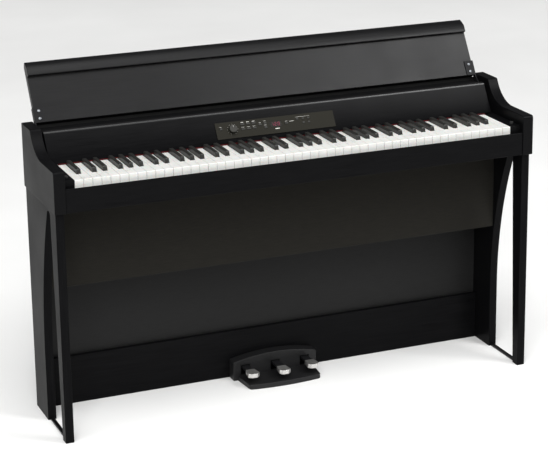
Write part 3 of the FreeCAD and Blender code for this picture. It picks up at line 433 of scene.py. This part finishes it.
red_felt = textured(
    # Pressed wool felt dyed red: dull, with a soft pale nap. Its red is drawn darker than the
    # felt's own, as painted shade for the shadow it lies in at the fascia's foot. Its fibres are
    # 0.02 mm thick and are drawn as 0.8 mm tufts.
    "red_wool_felt_with_painted_shade", ("#3c0a0d", "#561317"), [0.8 * MM] * 3, (0.9, 1.0), 0.2 * MM, 4.0,
    IOR=1.45, Specular_IOR_Level=0.2, Sheen_Weight=0.1, Sheen_Roughness=0.4)

eased_copy("felt_line", "key_felt_strip", red_felt, "red_felt", FELT_EDGE)


# ---------------------------------------------------------------------------------------------
# Fascia and top shelf. The sloping board behind the keys has a rounded top edge. The shelf
# runs back from it to the rear cover, under the lid.

RUBBED = 5 * MM


def rubbed_lacquer(name, foot, top):
    """The same lacquer flatted with fine paper, so that it hardly shines at its foot and more
    towards the top. The last few millimetres, over the rounded edge, are rubbed bright."""
    material = lacquer(name, 0)
    tree = material.node_tree
    shader = tree.nodes["Principled BSDF"]
    point = add_node(tree, "ShaderNodeTexCoord").outputs["Object"]
    height = add_node(tree, "ShaderNodeSeparateXYZ", {0: point}).outputs["Z"]
    face = add_node(tree, "ShaderNodeMapRange", {"Value": height, "From Min": foot,
                                                 "From Max": top, "To Min": 0.0, "To Max": 0.06})
    edge = add_node(tree, "ShaderNodeMapRange", {"Value": height, "From Min": top - RUBBED,
                                                 "From Max": top - RUBBED / 2, "To Max": 0.5})
    shine = add_node(tree, "ShaderNodeMath", {0: face.outputs[0], 1: edge.outputs[0]})
    tree.links.new(shine.outputs[0], shader.inputs["Specular IOR Level"])
    return material


fascia_low, fascia_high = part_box("fascia")
flatted_lacquer = rubbed_lacquer("flatted_black_lacquer", fascia_low.z, fascia_high.z)
eased_copy("fascia_board", "fascia", flatted_lacquer, "case_lacquer", LACQUERED_EDGE, steps=4)
eased_copy("shelf_board", "top_shelf", lacquer_across, "case_lacquer", LACQUERED_EDGE)


# ---------------------------------------------------------------------------------------------
# Control panel: a pressed plate on the fascia, with a smoked display window, printed marks,
# buttons and a volume knob. Marks and digits are plain shapes that spell nothing.

FASCIA_LEAN = math.radians(32.6)
PLATE_OUT = 2.0 * MM
PLATE_EDGE = 0.5 * MM
WINDOW_EDGE = 0.4 * MM
BUTTON_EDGE = 0.5 * MM
INK_THICK = 0.06 * MM

panel_paint = textured(
    # Baked matt paint on an aluminium plate: dark olive, with a fine eggshell texture.
    "panel_paint", ("#17160f", "#1f1d16"), [1.2 * MM] * 3, (0.5, 0.6), 0.03 * MM, IOR=1.5,
    Specular_IOR_Level=0.12)
smoked_window = textured(
    # Smoked acrylic window: near black and glossy, with the faint ripple of moulding.
    "smoked_window", ("#12100c", "#171510"), [12 * MM] * 3, (0.2, 0.28), 0.01 * MM, IOR=1.49,
    Specular_IOR_Level=0.12)
button_plastic = textured(
    # Moulded ABS with a spark-eroded grain of about 0.3 mm: dark grey and evenly dull.
    "button_abs", ("#232320", "#2d2d2a"), [0.3 * MM] * 3, (0.45, 0.58), 0.02 * MM, IOR=1.53,
    Specular_IOR_Level=0.25)

eased_copy("panel_plate", "control_panel", panel_paint, "panel_plate", PLATE_EDGE)
eased_copy("display_window", "led_display", smoked_window, "display_lens", WINDOW_EDGE)

BUTTONS = (["power_button", "bank_button", "up_button", "down_button", "metronome_button"]
           + [f"sound_button_{count}" for count in range(1, 7)])
for button in BUTTONS + ["song_buttons"]:
    eased_copy(f"cap_{button}", button, button_plastic, "button_plastic", BUTTON_EDGE, button)


def on_panel(x, up, out):
    """A point on the fascia: across, up its slope from its foot, and out from its face."""
    slope = Vector([0, math.sin(FASCIA_LEAN), math.cos(FASCIA_LEAN)])
    facing = Vector([0, -math.cos(FASCIA_LEAN), math.sin(FASCIA_LEAN)])
    return Vector([x, fascia_low.y, fascia_low.z]) + slope * up + facing * out


def up_slope(point):
    """How far up the fascia's slope a point lies."""
    rise = point - Vector([point.x, fascia_low.y, fascia_low.z])
    return rise.y * math.sin(FASCIA_LEAN) + rise.z * math.cos(FASCIA_LEAN)


def add_tile(shape, corners, base, thick):
    """Adds a thin flat tile: its corners go anticlockwise as (x, up), on top of base."""
    rings = [[shape.verts.new(on_panel(x, up, out)) for x, up in corners]
             for out in (base, base + thick)]
    shape.faces.new(rings[1])
    shape.faces.new(reversed(rings[0]))
    for i, under in enumerate(rings[0]):
        j = (i + 1) % len(corners)
        shape.faces.new([under, rings[0][j], rings[1][j], rings[1][i]])


def dash(x, up, wide, high):
    """The corners of an upright rectangle about a point."""
    return [(x + sx * wide / 2, up + sy * high / 2)
            for sx, sy in ((-1, -1), (1, -1), (1, 1), (-1, 1))]


def bar(start, end, stroke):
    """The corners of a bar between two points, pointed at both ends."""
    run = Vector(end) - Vector(start)
    along = run.normalized() * stroke / 2
    over = Vector([-along.y, along.x])
    a, b = Vector(start), Vector(end)
    return [tuple(p) for p in (a, a + along - over, b - along - over, b,
                               b - along + over, a + along + over)]


LABEL_GAP = 1.9 * MM
LABEL_SHARE = 0.62
LABEL_TALL = 0.7 * MM
SOUND_LABEL_TALL = 1.3 * MM
SOUND_TOP_ROW = ("sound_button_1", "sound_button_2", "sound_button_3")

ink = bmesh.new()
for button in BUTTONS:
    low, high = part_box(button)
    middle = (low + high) / 2
    top = up_slope(middle) + (high - low).z / 2
    tall = SOUND_LABEL_TALL if button in SOUND_TOP_ROW else LABEL_TALL
    add_tile(ink, dash(middle.x, top + LABEL_GAP, (high - low).x * LABEL_SHARE, tall),
             PLATE_OUT, INK_THICK)

knob_low, knob_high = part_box("volume_knob")
knob_x = (knob_low.x + knob_high.x) / 2
KNOB_UP = 37.5 * MM
KNOB_RADIUS = (knob_high.x - knob_low.x) / 2
TICKS = 11
TICK_SWEEP = math.radians(300)
TICK_FROM = 1.6 * MM
TICK_TO = 3.4 * MM
TICK_STROKE = 0.6 * MM
for count in range(TICKS):
    angle = TICK_SWEEP * (count / (TICKS - 1) - 0.5)
    spoke = Vector([math.sin(angle), math.cos(angle)])
    centre = Vector([knob_x, KNOB_UP])
    inner = centre + spoke * (KNOB_RADIUS + TICK_FROM)
    outer = centre + spoke * (KNOB_RADIUS + TICK_TO)
    add_tile(ink, bar(inner, outer, TICK_STROKE), PLATE_OUT, INK_THICK)

LINES = (
    # (x, up the slope, width, height) in mm: over the song buttons, beside the metronome
    # button, and under the display
    (73.5, 51.5, 41, 0.5), (40.5, 42, 13, 1.0), (-3, 26, 13, 2.4))
for line in LINES:
    add_tile(ink, dash(*(size * MM for size in line)), PLATE_OUT, INK_THICK)

screen_ink = textured(
    # Silk-screened epoxy ink: an even warm white, a little raised and chalky.
    "screen_ink", ("#c9c8c2", "#d8d7d1"), [2 * MM] * 3, (0.55, 0.65), 0.01 * MM, IOR=1.5)
place(new_piece("panel_marks", ink), screen_ink, "panel_plate", "case")

# The display's digits: seven bars each, as in any LED display. They show a tempo of 120.
SEGMENTS = {"1": "bc", "2": "abged", "0": "abcdef"}
DIGIT_WIDE = 4.6 * MM
DIGIT_TALL = 8.6 * MM
DIGIT_PITCH = 9.0 * MM
DIGIT_STROKE = 0.8 * MM
lens_low, lens_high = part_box("led_display")
lens_middle = (lens_low + lens_high) / 2
lens_face = max((v.co - on_panel(v.co.x, up_slope(v.co), 0)).length
                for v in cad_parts["led_display"].data.vertices)
digits = bmesh.new()
for count, digit in enumerate("120"):
    left = lens_middle.x + (count - 1) * DIGIT_PITCH - DIGIT_WIDE / 2
    foot = up_slope(lens_middle) - DIGIT_TALL / 2
    across = (left, left + DIGIT_WIDE)
    level = (foot, foot + DIGIT_TALL / 2, foot + DIGIT_TALL)
    ends = {"a": (0, 2, 1, 2), "b": (1, 1, 1, 2), "c": (1, 0, 1, 1), "d": (0, 0, 1, 0),
            "e": (0, 0, 0, 1), "f": (0, 1, 0, 2), "g": (0, 1, 1, 1)}
    for segment in SEGMENTS[digit]:
        x1, y1, x2, y2 = ends[segment]
        add_tile(digits, bar((across[x1], level[y1]), (across[x2], level[y2]), DIGIT_STROKE),
                 lens_face, INK_THICK)

lit_segments = textured(
    # Lit LED segments behind a diffuser: an even pinkish red glow.
    "lit_red_segments", ("#7a2840", "#86304a"), [1 * MM] * 3, (0.5, 0.6), 0.01 * MM,
    Specular_IOR_Level=0.1, Emission_Color=linear("#d0507a"), Emission_Strength=0.25)
place(new_piece("display_digits", digits), lit_segments, "display_lens", "case")


# ---------------------------------------------------------------------------------------------
# Volume knob: a turned and ribbed cap on the potentiometer's shaft, with a pointer line.

KNOB_HIGH = 9 * MM
KNOB_RIBS = 36
RIB_DEEP = 0.35 * MM
KNOB_STEPS = KNOB_RIBS * 4
POINTER_WIDE = 0.6 * MM
POINTER_THICK = 0.25 * MM
POINTER_MIDDLE = 0.52
POINTER_LONG = 0.5
KNOB_PROFILE = [
    # (height from the plate, radius, how much of the rib shows), as shares of the full size
    (0.03, 0.90, 0.0), (0.03, 0.985, 0.0), (0.05, 1.000, 0.0), (0.10, 1.000, 0.0),
    (0.12, 0.985, 1.0), (0.50, 0.960, 1.0), (0.84, 0.940, 1.0), (0.92, 0.915, 0.3),
    (0.97, 0.880, 0.0), (1.00, 0.820, 0.0), (0.985, 0.600, 0.0), (0.975, 0.300, 0.0)]

knob_moulding = textured(
    # Moulded ABS with a matt eroded grain: charcoal, a little glossier on the worn ribs.
    "knob_abs", ("#1a1914", "#24231d"), [0.4 * MM] * 3, (0.45, 0.55), 0.02 * MM, IOR=1.53,
    Specular_IOR_Level=0.3)

knob = bmesh.new()
rings = []
for height, share, rib in KNOB_PROFILE:
    ring = []
    for step in range(KNOB_STEPS):
        angle = 2 * math.pi * step / KNOB_STEPS
        groove = RIB_DEEP * rib * (0.5 - 0.5 * math.cos(KNOB_RIBS * angle))
        radius = KNOB_RADIUS * share - groove
        point = on_panel(knob_x + radius * math.cos(angle), KNOB_UP + radius * math.sin(angle),
                         PLATE_OUT + KNOB_HIGH * height)
        ring.append(knob.verts.new(point))
    rings.append(ring)
for inner, outer in zip(rings, rings[1:]):
    for i in range(KNOB_STEPS):
        j = (i + 1) % KNOB_STEPS
        knob.faces.new([inner[i], inner[j], outer[j], outer[i]])
for ring in (rings[0], rings[-1]):
    knob.faces.new(ring)
bmesh.ops.recalc_face_normals(knob, faces=knob.faces)
place(new_piece("volume_cap", knob), knob_moulding, "knob_plastic", "volume_knob", "volume_knob")

pointer = bmesh.new()
add_tile(pointer, dash(knob_x, KNOB_UP + KNOB_RADIUS * POINTER_MIDDLE, POINTER_WIDE,
                       KNOB_RADIUS * POINTER_LONG),
         PLATE_OUT + KNOB_HIGH - POINTER_THICK, POINTER_THICK)
place(new_piece("volume_pointer", pointer), screen_ink, "knob_plastic", "volume_knob")


# ---------------------------------------------------------------------------------------------
# Rear cover and sockets. The cover is a painted board screwed over the keyboard's back. The
# socket block passes through it, with the power inlet and two line sockets. The cover's top
# comes to within a hair of the open lid, so that no light shows between them.

socket_plastic = textured(
    # Glass-filled nylon, moulded: near black, slightly streaked by its fibres.
    "socket_nylon", ("#171717", "#202020"), [6 * MM, 1 * MM, 1 * MM], (0.4, 0.55), 0.02 * MM,
    IOR=1.53)

COVER_RAISED = 0.25 * MM
COVER_EDGE = 0.8 * MM
SOCKET_EDGE = 0.5 * MM
CLOSED_EDGE = 0.05 * MM

cover = merged("rear_cover")
cover_top = max(point.co.z for point in cover.verts)
for point in cover.verts:
    if point.co.z > cover_top - SAME_POINT:
        point.co.z += COVER_RAISED


def cover_edge(edge):
    """Rounds the cover's foot and leaves its top square, so that it closes under the lid."""
    at_top = min(point.co.z for point in edge.verts) > cover_top
    return CLOSED_EDGE if at_top else COVER_EDGE


place(ease("keyboard_rear_cover", cover, cover_edge), foil_board, "back_board", "case",
      "rear_cover")
eased_copy("socket_block", "rear_sockets", socket_plastic, "socket_plastic", SOCKET_EDGE)


# ---------------------------------------------------------------------------------------------
# Key lid. A folding board that stands open behind the shelf, with a thick lip along its upper
# edge, which is the front edge when the lid is closed. Lacquered with the grain along it.

LID_EDGE = 1.6 * MM

lid_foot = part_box("lid_panel")[0].z


def lid_edge(edge):
    """Rounds the lid all round but for its lowest edge, which meets the rear cover."""
    lowest = max(point.co.z for point in edge.verts) < lid_foot + NEAR
    return CLOSED_EDGE if lowest else LID_EDGE


eased_copy("lid_board", "lid_panel", lacquer_across, "case_lacquer", lid_edge, "lid", 4)


# ---------------------------------------------------------------------------------------------
# Lid arms and bumpers. Two pressed steel arms are screwed to the lid's ends and turn on pins
# in the cheeks. Rubber domes on the end blocks take the lid when it closes.

ARM_EDGE = 0.6 * MM
BUMPER_EDGE = 1.2 * MM
PIN_EDGE = 0.4 * MM

powder_coat = textured(
    # Black powder coat on steel: hard and semi-matt, with an orange-peel skin of 1.5 mm.
    "black_powder_coat", ("#131314", "#1a1a1c"), [1.5 * MM] * 3, (0.4, 0.52), 0.06 * MM,
    IOR=1.5, Specular_IOR_Level=0.12)
bumper_rubber = textured(
    # Moulded nitrile rubber: dull black with a dusty bloom.
    "nitrile_rubber", ("#0e0e0e", "#181817"), [2.5 * MM] * 3, (0.7, 0.85), 0.04 * MM, IOR=1.52)
zinc_steel = textured(
    # Zinc-plated steel: bright, slightly blue, brushed by handling.
    "zinc_plated_steel", ("#84878b", "#9fa3a7"), [0.5 * MM, 4 * MM, 0.5 * MM], (0.3, 0.44),
    0.01 * MM, Metallic=1.0)

eased_copy("lid_brackets", "lid_arms", powder_coat, "black_steel", ARM_EDGE, "lid")
eased_copy("rubber_bumpers", "lid_bumpers", bumper_rubber, "bumper_rubber", BUMPER_EDGE,
           steps=4)
eased_copy("turning_pins", "pivot_pins", zinc_steel, "bright_steel", PIN_EDGE)


# ---------------------------------------------------------------------------------------------
# Screws. Pan-head machine screws with a cross recess: twelve hold the stand's back boards and
# four hold the lid's arms. One screw is made, and a tree sets a copy at each place.

HEAD_RADIUS = 4.0 * MM
HEAD_HIGH = 2.2 * MM
SHANK_RADIUS = 1.8 * MM
SHANK_LONG = 11.5 * MM
RECESS_LONG = 4.6 * MM
RECESS_WIDE = 1.0 * MM
RECESS_DEEP = 1.3 * MM
HEAD_PROFILE = [
    # (share of the head's radius, share of its height) from the rim to the crown
    (1.0, 0.0), (1.0, 0.28), (0.97, 0.48), (0.88, 0.72), (0.72, 0.88), (0.5, 0.97), (0.25, 1.0)]
SCREW_STEPS = 32


def turned(profile, steps):
    """A closed solid turned about Z from (radius, height) pairs, the lowest first."""
    shape = bmesh.new()
    rings = [[shape.verts.new((radius * math.cos(2 * math.pi * i / steps),
                               radius * math.sin(2 * math.pi * i / steps), height))
              for i in range(steps)] for radius, height in profile]
    for lower, upper in zip(rings, rings[1:]):
        for i in range(steps):
            j = (i + 1) % steps
            shape.faces.new([lower[i], lower[j], upper[j], upper[i]])
    shape.faces.new(reversed(rings[0]))
    shape.faces.new(rings[-1])
    return shape


shank = [(SHANK_RADIUS * 0.6, -SHANK_LONG), (SHANK_RADIUS, -SHANK_LONG * 0.9), (SHANK_RADIUS, 0)]
head = [(radius * HEAD_RADIUS, height * HEAD_HIGH) for radius, height in HEAD_PROFILE]
screw = new_piece("screw_pattern", turned(shank + head, SCREW_STEPS))
cutters = []
for long, wide in ((RECESS_LONG, RECESS_WIDE), (RECESS_WIDE, RECESS_LONG)):
    corner = Vector([long / 2, wide / 2, 0])
    cutter = new_piece("recess_cutter", slab(-corner + Vector([0, 0, HEAD_HIGH - RECESS_DEEP]),
                                             corner + Vector([0, 0, HEAD_HIGH * 2])))
    cut = screw.modifiers.new("recess", "BOOLEAN")
    cut.object = cutter
    cut.operation = "DIFFERENCE"
    cut.solver = "EXACT"
    cutters.append(cutter)
settle(screw)
for cutter in cutters:
    bpy.data.objects.remove(cutter)


def solids_of(node):
    """The points of each separate solid in a CAD node. They are gathered in the mesh's own
    order, so that each screw has the same turn in every run."""
    shape = merged(node)
    waiting = dict.fromkeys(shape.verts)
    groups = []
    while waiting:
        found = [waiting.popitem()[0]]
        for point in found:
            for edge in point.link_edges:
                near = edge.other_vert(point)
                if near in waiting:
                    del waiting[near]
                    found.append(near)
        groups.append([point.co.copy() for point in found])
    shape.free()
    return groups


def screw_seats(node, facing):
    """Where each screw head sits: on the solid's own line, a head's height below its crown."""
    seats = []
    for points in solids_of(node):
        low = Vector([min(p[i] for p in points) for i in range(3)])
        high = Vector([max(p[i] for p in points) for i in range(3)])
        middle = (low + high) / 2
        crown = max((p - middle).dot(facing) for p in points)
        line = [p for p in points if (p - middle).dot(facing) > crown - SAME_POINT]
        centre = sum(line, Vector()) / len(line)
        seats.append(centre - facing * HEAD_HIGH)
    return seats


def repeat_tree(name):
    """Sets a copy of one pattern on each point, turned to face one way and spun at random."""
    tree = bpy.data.node_groups.new(name, "GeometryNodeTree")
    tree.is_modifier = True
    sockets = (("Seats", "INPUT", "NodeSocketGeometry"), ("Pattern", "INPUT", "NodeSocketObject"),
               ("Facing", "INPUT", "NodeSocketVector"), ("Material", "INPUT", "NodeSocketMaterial"),
               ("Result", "OUTPUT", "NodeSocketGeometry"))
    for label, way, kind in sockets:
        tree.interface.new_socket(label, in_out=way, socket_type=kind)
    given = add_node(tree, "NodeGroupInput")
    pattern_mesh = add_node(tree, "GeometryNodeObjectInfo", {"Object": given.outputs["Pattern"]})
    facing = add_node(tree, "FunctionNodeAlignRotationToVector",
                      {"Vector": given.outputs["Facing"]}, axis="Z")
    spin = add_node(tree, "FunctionNodeRandomValue", {"Max": (0.0, 0.0, math.pi), "Seed": 7},
                    data_type="FLOAT_VECTOR")
    turn = add_node(tree, "FunctionNodeRotateRotation",
                    {"Rotation": facing.outputs[0], "Rotate By": spin.outputs[0]},
                    rotation_space="LOCAL")
    points = add_node(tree, "GeometryNodeMeshToPoints", {"Mesh": given.outputs["Seats"]})
    copies = add_node(tree, "GeometryNodeInstanceOnPoints",
                      {"Points": points.outputs[0], "Instance": pattern_mesh.outputs["Geometry"],
                       "Rotation": turn.outputs[0]})
    whole = add_node(tree, "GeometryNodeRealizeInstances", {0: copies.outputs[0]})
    coated = add_node(tree, "GeometryNodeSetMaterial",
                      {"Geometry": whole.outputs[0], "Material": given.outputs["Material"]})
    add_node(tree, "NodeGroupOutput", {0: coated.outputs[0]})
    return tree


screw_tree = repeat_tree("screws_at_seats")


def screws(name, node, facing, material, slot, body):
    """Real screws in place of the CAD node's plain ones."""
    shape = bmesh.new()
    for seat in screw_seats(node, facing):
        shape.verts.new(seat)
    piece = new_piece(name, shape)
    modifier = piece.modifiers.new("screws", "NODES")
    modifier.node_group = screw_tree
    values = {"Pattern": screw, "Facing": facing, "Material": material}
    for item in screw_tree.interface.items_tree:
        if item.name in values:
            modifier[item.identifier] = values[item.name]
    settle(piece)
    return place(piece, material, slot, body, node)


LID_LEAN = math.radians(31.7)
screws("lid_fixing_screws", "lid_screws",
       Vector([0, -math.cos(LID_LEAN), math.sin(LID_LEAN)]), zinc_steel, "bright_steel", "lid")
screws("stand_fixing_screws", "stand_screws", Vector([0, 1, 0]), zinc_steel, "bright_steel", "case")
bpy.data.objects.remove(screw)


# ---------------------------------------------------------------------------------------------
# Pedals. Each is a coated steel lever with a cast and polished tip, and turns on a shaft behind
# the pedal board. A moulded hood and tray cover the levers and keep the carpet out.

LEVER_EDGE = 1.0 * MM
TIP_EDGE = 2.4 * MM
HOUSING_EDGE = 1.4 * MM
CRISP_EDGE = 0.2 * MM
SLOT_LOW = 14.5 * MM
SLOT_OVER_LEVER = 5 * MM
SLOT_FROM_SIDE = 3 * MM

polished_tip = textured(
    # Nickel-plated brass casting, once polished: bright, and hazed lengthways by shoes.
    "polished_nickel", ("#d2d1ce", "#e6e5e2"), [2 * MM, 30 * MM, 2 * MM], (0.4, 0.52), 0.01 * MM,
    Metallic=1.0)
moulded_housing = textured(
    # Moulded ABS with a leathery grain of about 1 mm: soft black, dull in the hollows.
    "moulded_black_abs", ("#121213", "#1a1a1b"), [1.0 * MM] * 3, (0.42, 0.56), 0.06 * MM,
    IOR=1.53, Specular_IOR_Level=0.3)

lever_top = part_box("pedal_soft_lever")[1].z
hood_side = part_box("pedal_housing")[1].x


def housing_edge(edge):
    """Rounds the moulding's outside, and leaves its lever slots and inner corners crisp."""
    middle = (edge.verts[0].co + edge.verts[1].co) / 2
    in_slot = (SLOT_LOW < middle.z < lever_top + SLOT_OVER_LEVER
               and abs(middle.x) < hood_side - SLOT_FROM_SIDE)
    return CRISP_EDGE if in_slot or not edge.is_convex else HOUSING_EDGE


eased_copy("pedal_cover", "pedal_housing", moulded_housing, "housing_plastic", housing_edge,
           steps=4)
for pedal in ("soft", "sostenuto", "damper"):
    eased_copy(f"lever_{pedal}", f"pedal_{pedal}_lever", powder_coat, "black_steel", LEVER_EDGE,
               f"pedal_{pedal}")
    eased_copy(f"foot_tip_{pedal}", f"pedal_{pedal}_tip", polished_tip, "chrome_cap", TIP_EDGE,
               f"pedal_{pedal}", 5)


# ---------------------------------------------------------------------------------------------
# Studio: a pale floor, soft lights above, at both front corners and weakly on the left, a wide
# sun for the room's own light, and the camera, which looks from the left and a little above.

FLOOR_HALF = 20.0
ROOM_GREY = [0.1, 0.1, 0.1, 1]
BACKDROP_WHITE = [0.97, 0.97, 0.97, 1]

pale_floor = textured(
    # Pale painted studio floor: matt and nearly white.
    "pale_studio_floor", ("#e9e9e8", "#efefee"), [0.9] * 3, (0.7, 0.8), 0.02 * MM, IOR=1.45)
floor_shape = bmesh.new()
corners = [(-FLOOR_HALF, -FLOOR_HALF), (FLOOR_HALF, -FLOOR_HALF), (FLOOR_HALF, FLOOR_HALF),
           (-FLOOR_HALF, FLOOR_HALF)]
floor_shape.faces.new([floor_shape.verts.new((x, y, cad_box[0].z)) for x, y in corners])
floor = new_piece("studio_floor", floor_shape)
floor.data.materials.append(pale_floor)

world = bpy.data.worlds.new("studio")
world.use_nodes = True
bpy.context.scene.world = world
sky = world.node_tree
ray = add_node(sky, "ShaderNodeLightPath")
seen = add_node(sky, "ShaderNodeMix", {0: ray.outputs["Is Camera Ray"], 6: ROOM_GREY,
                                       7: BACKDROP_WHITE}, data_type="RGBA")
sky.links.new(seen.outputs[2], sky.nodes["Background"].inputs[0])
bpy.context.scene.view_settings.view_transform = "Standard"


def soft_light(name, at, towards, size, watts):
    """A square softbox at one point that faces another."""
    data = bpy.data.lights.new(name, "AREA")
    data.shape = "SQUARE"
    data.size = size
    data.energy = watts
    light = bpy.data.objects.new(name, data)
    bpy.context.scene.collection.objects.link(light)
    light.location = at
    light.rotation_euler = (Vector(towards) - Vector(at)).to_track_quat("-Z", "Y").to_euler()


soft_light("overhead_softbox", (0.2, -0.6, 3.8), (0, 0, 0.4), 2.6, 24)
soft_light("right_front_softbox", (2.6, -2.6, 3.6), (0.4, 0.1, 0.8), 1.6, 100)
soft_light("front_softbox", (-2.4, -4.4, 3.4), (0, 0, 0.5), 2.0, 130)
soft_light("left_softbox", (-4.0, -0.6, 1.8), (0, 0, 0.6), 1.6, 4)

SUN_STRENGTH = 2.7
SUN_WIDE = math.radians(50)
SUN_LEAN = (math.radians(22), math.radians(-12), 0)
sun_data = bpy.data.lights.new("room_light", "SUN")
sun_data.energy = SUN_STRENGTH
sun_data.angle = SUN_WIDE
sun = bpy.data.objects.new("room_light", sun_data)
bpy.context.scene.collection.objects.link(sun)
sun.rotation_euler = SUN_LEAN

CAMERA_AT = (-1.859, -4.561, 2.017)
CAMERA_TURN = math.radians(22.04)
CAMERA_TILT = math.radians(16.09)
CAMERA_ROLL = math.radians(-0.8)
SENSOR_WIDE = 36.0
FOCAL_LENGTH = 125.3
SHIFT_DOWN = -0.1
camera_data = bpy.data.cameras.new("camera")
camera_data.sensor_width = SENSOR_WIDE
camera_data.lens = FOCAL_LENGTH
camera_data.shift_y = SHIFT_DOWN
camera = bpy.data.objects.new("camera", camera_data)
bpy.context.scene.collection.objects.link(camera)
aim = Matrix.Rotation(-CAMERA_TURN, 4, "Z") @ Matrix.Rotation(math.pi / 2 - CAMERA_TILT, 4, "X")
camera.matrix_world = (Matrix.Translation(CAMERA_AT) @ aim
                       @ Matrix.Rotation(CAMERA_ROLL, 4, "Z"))
bpy.context.scene.camera = camera
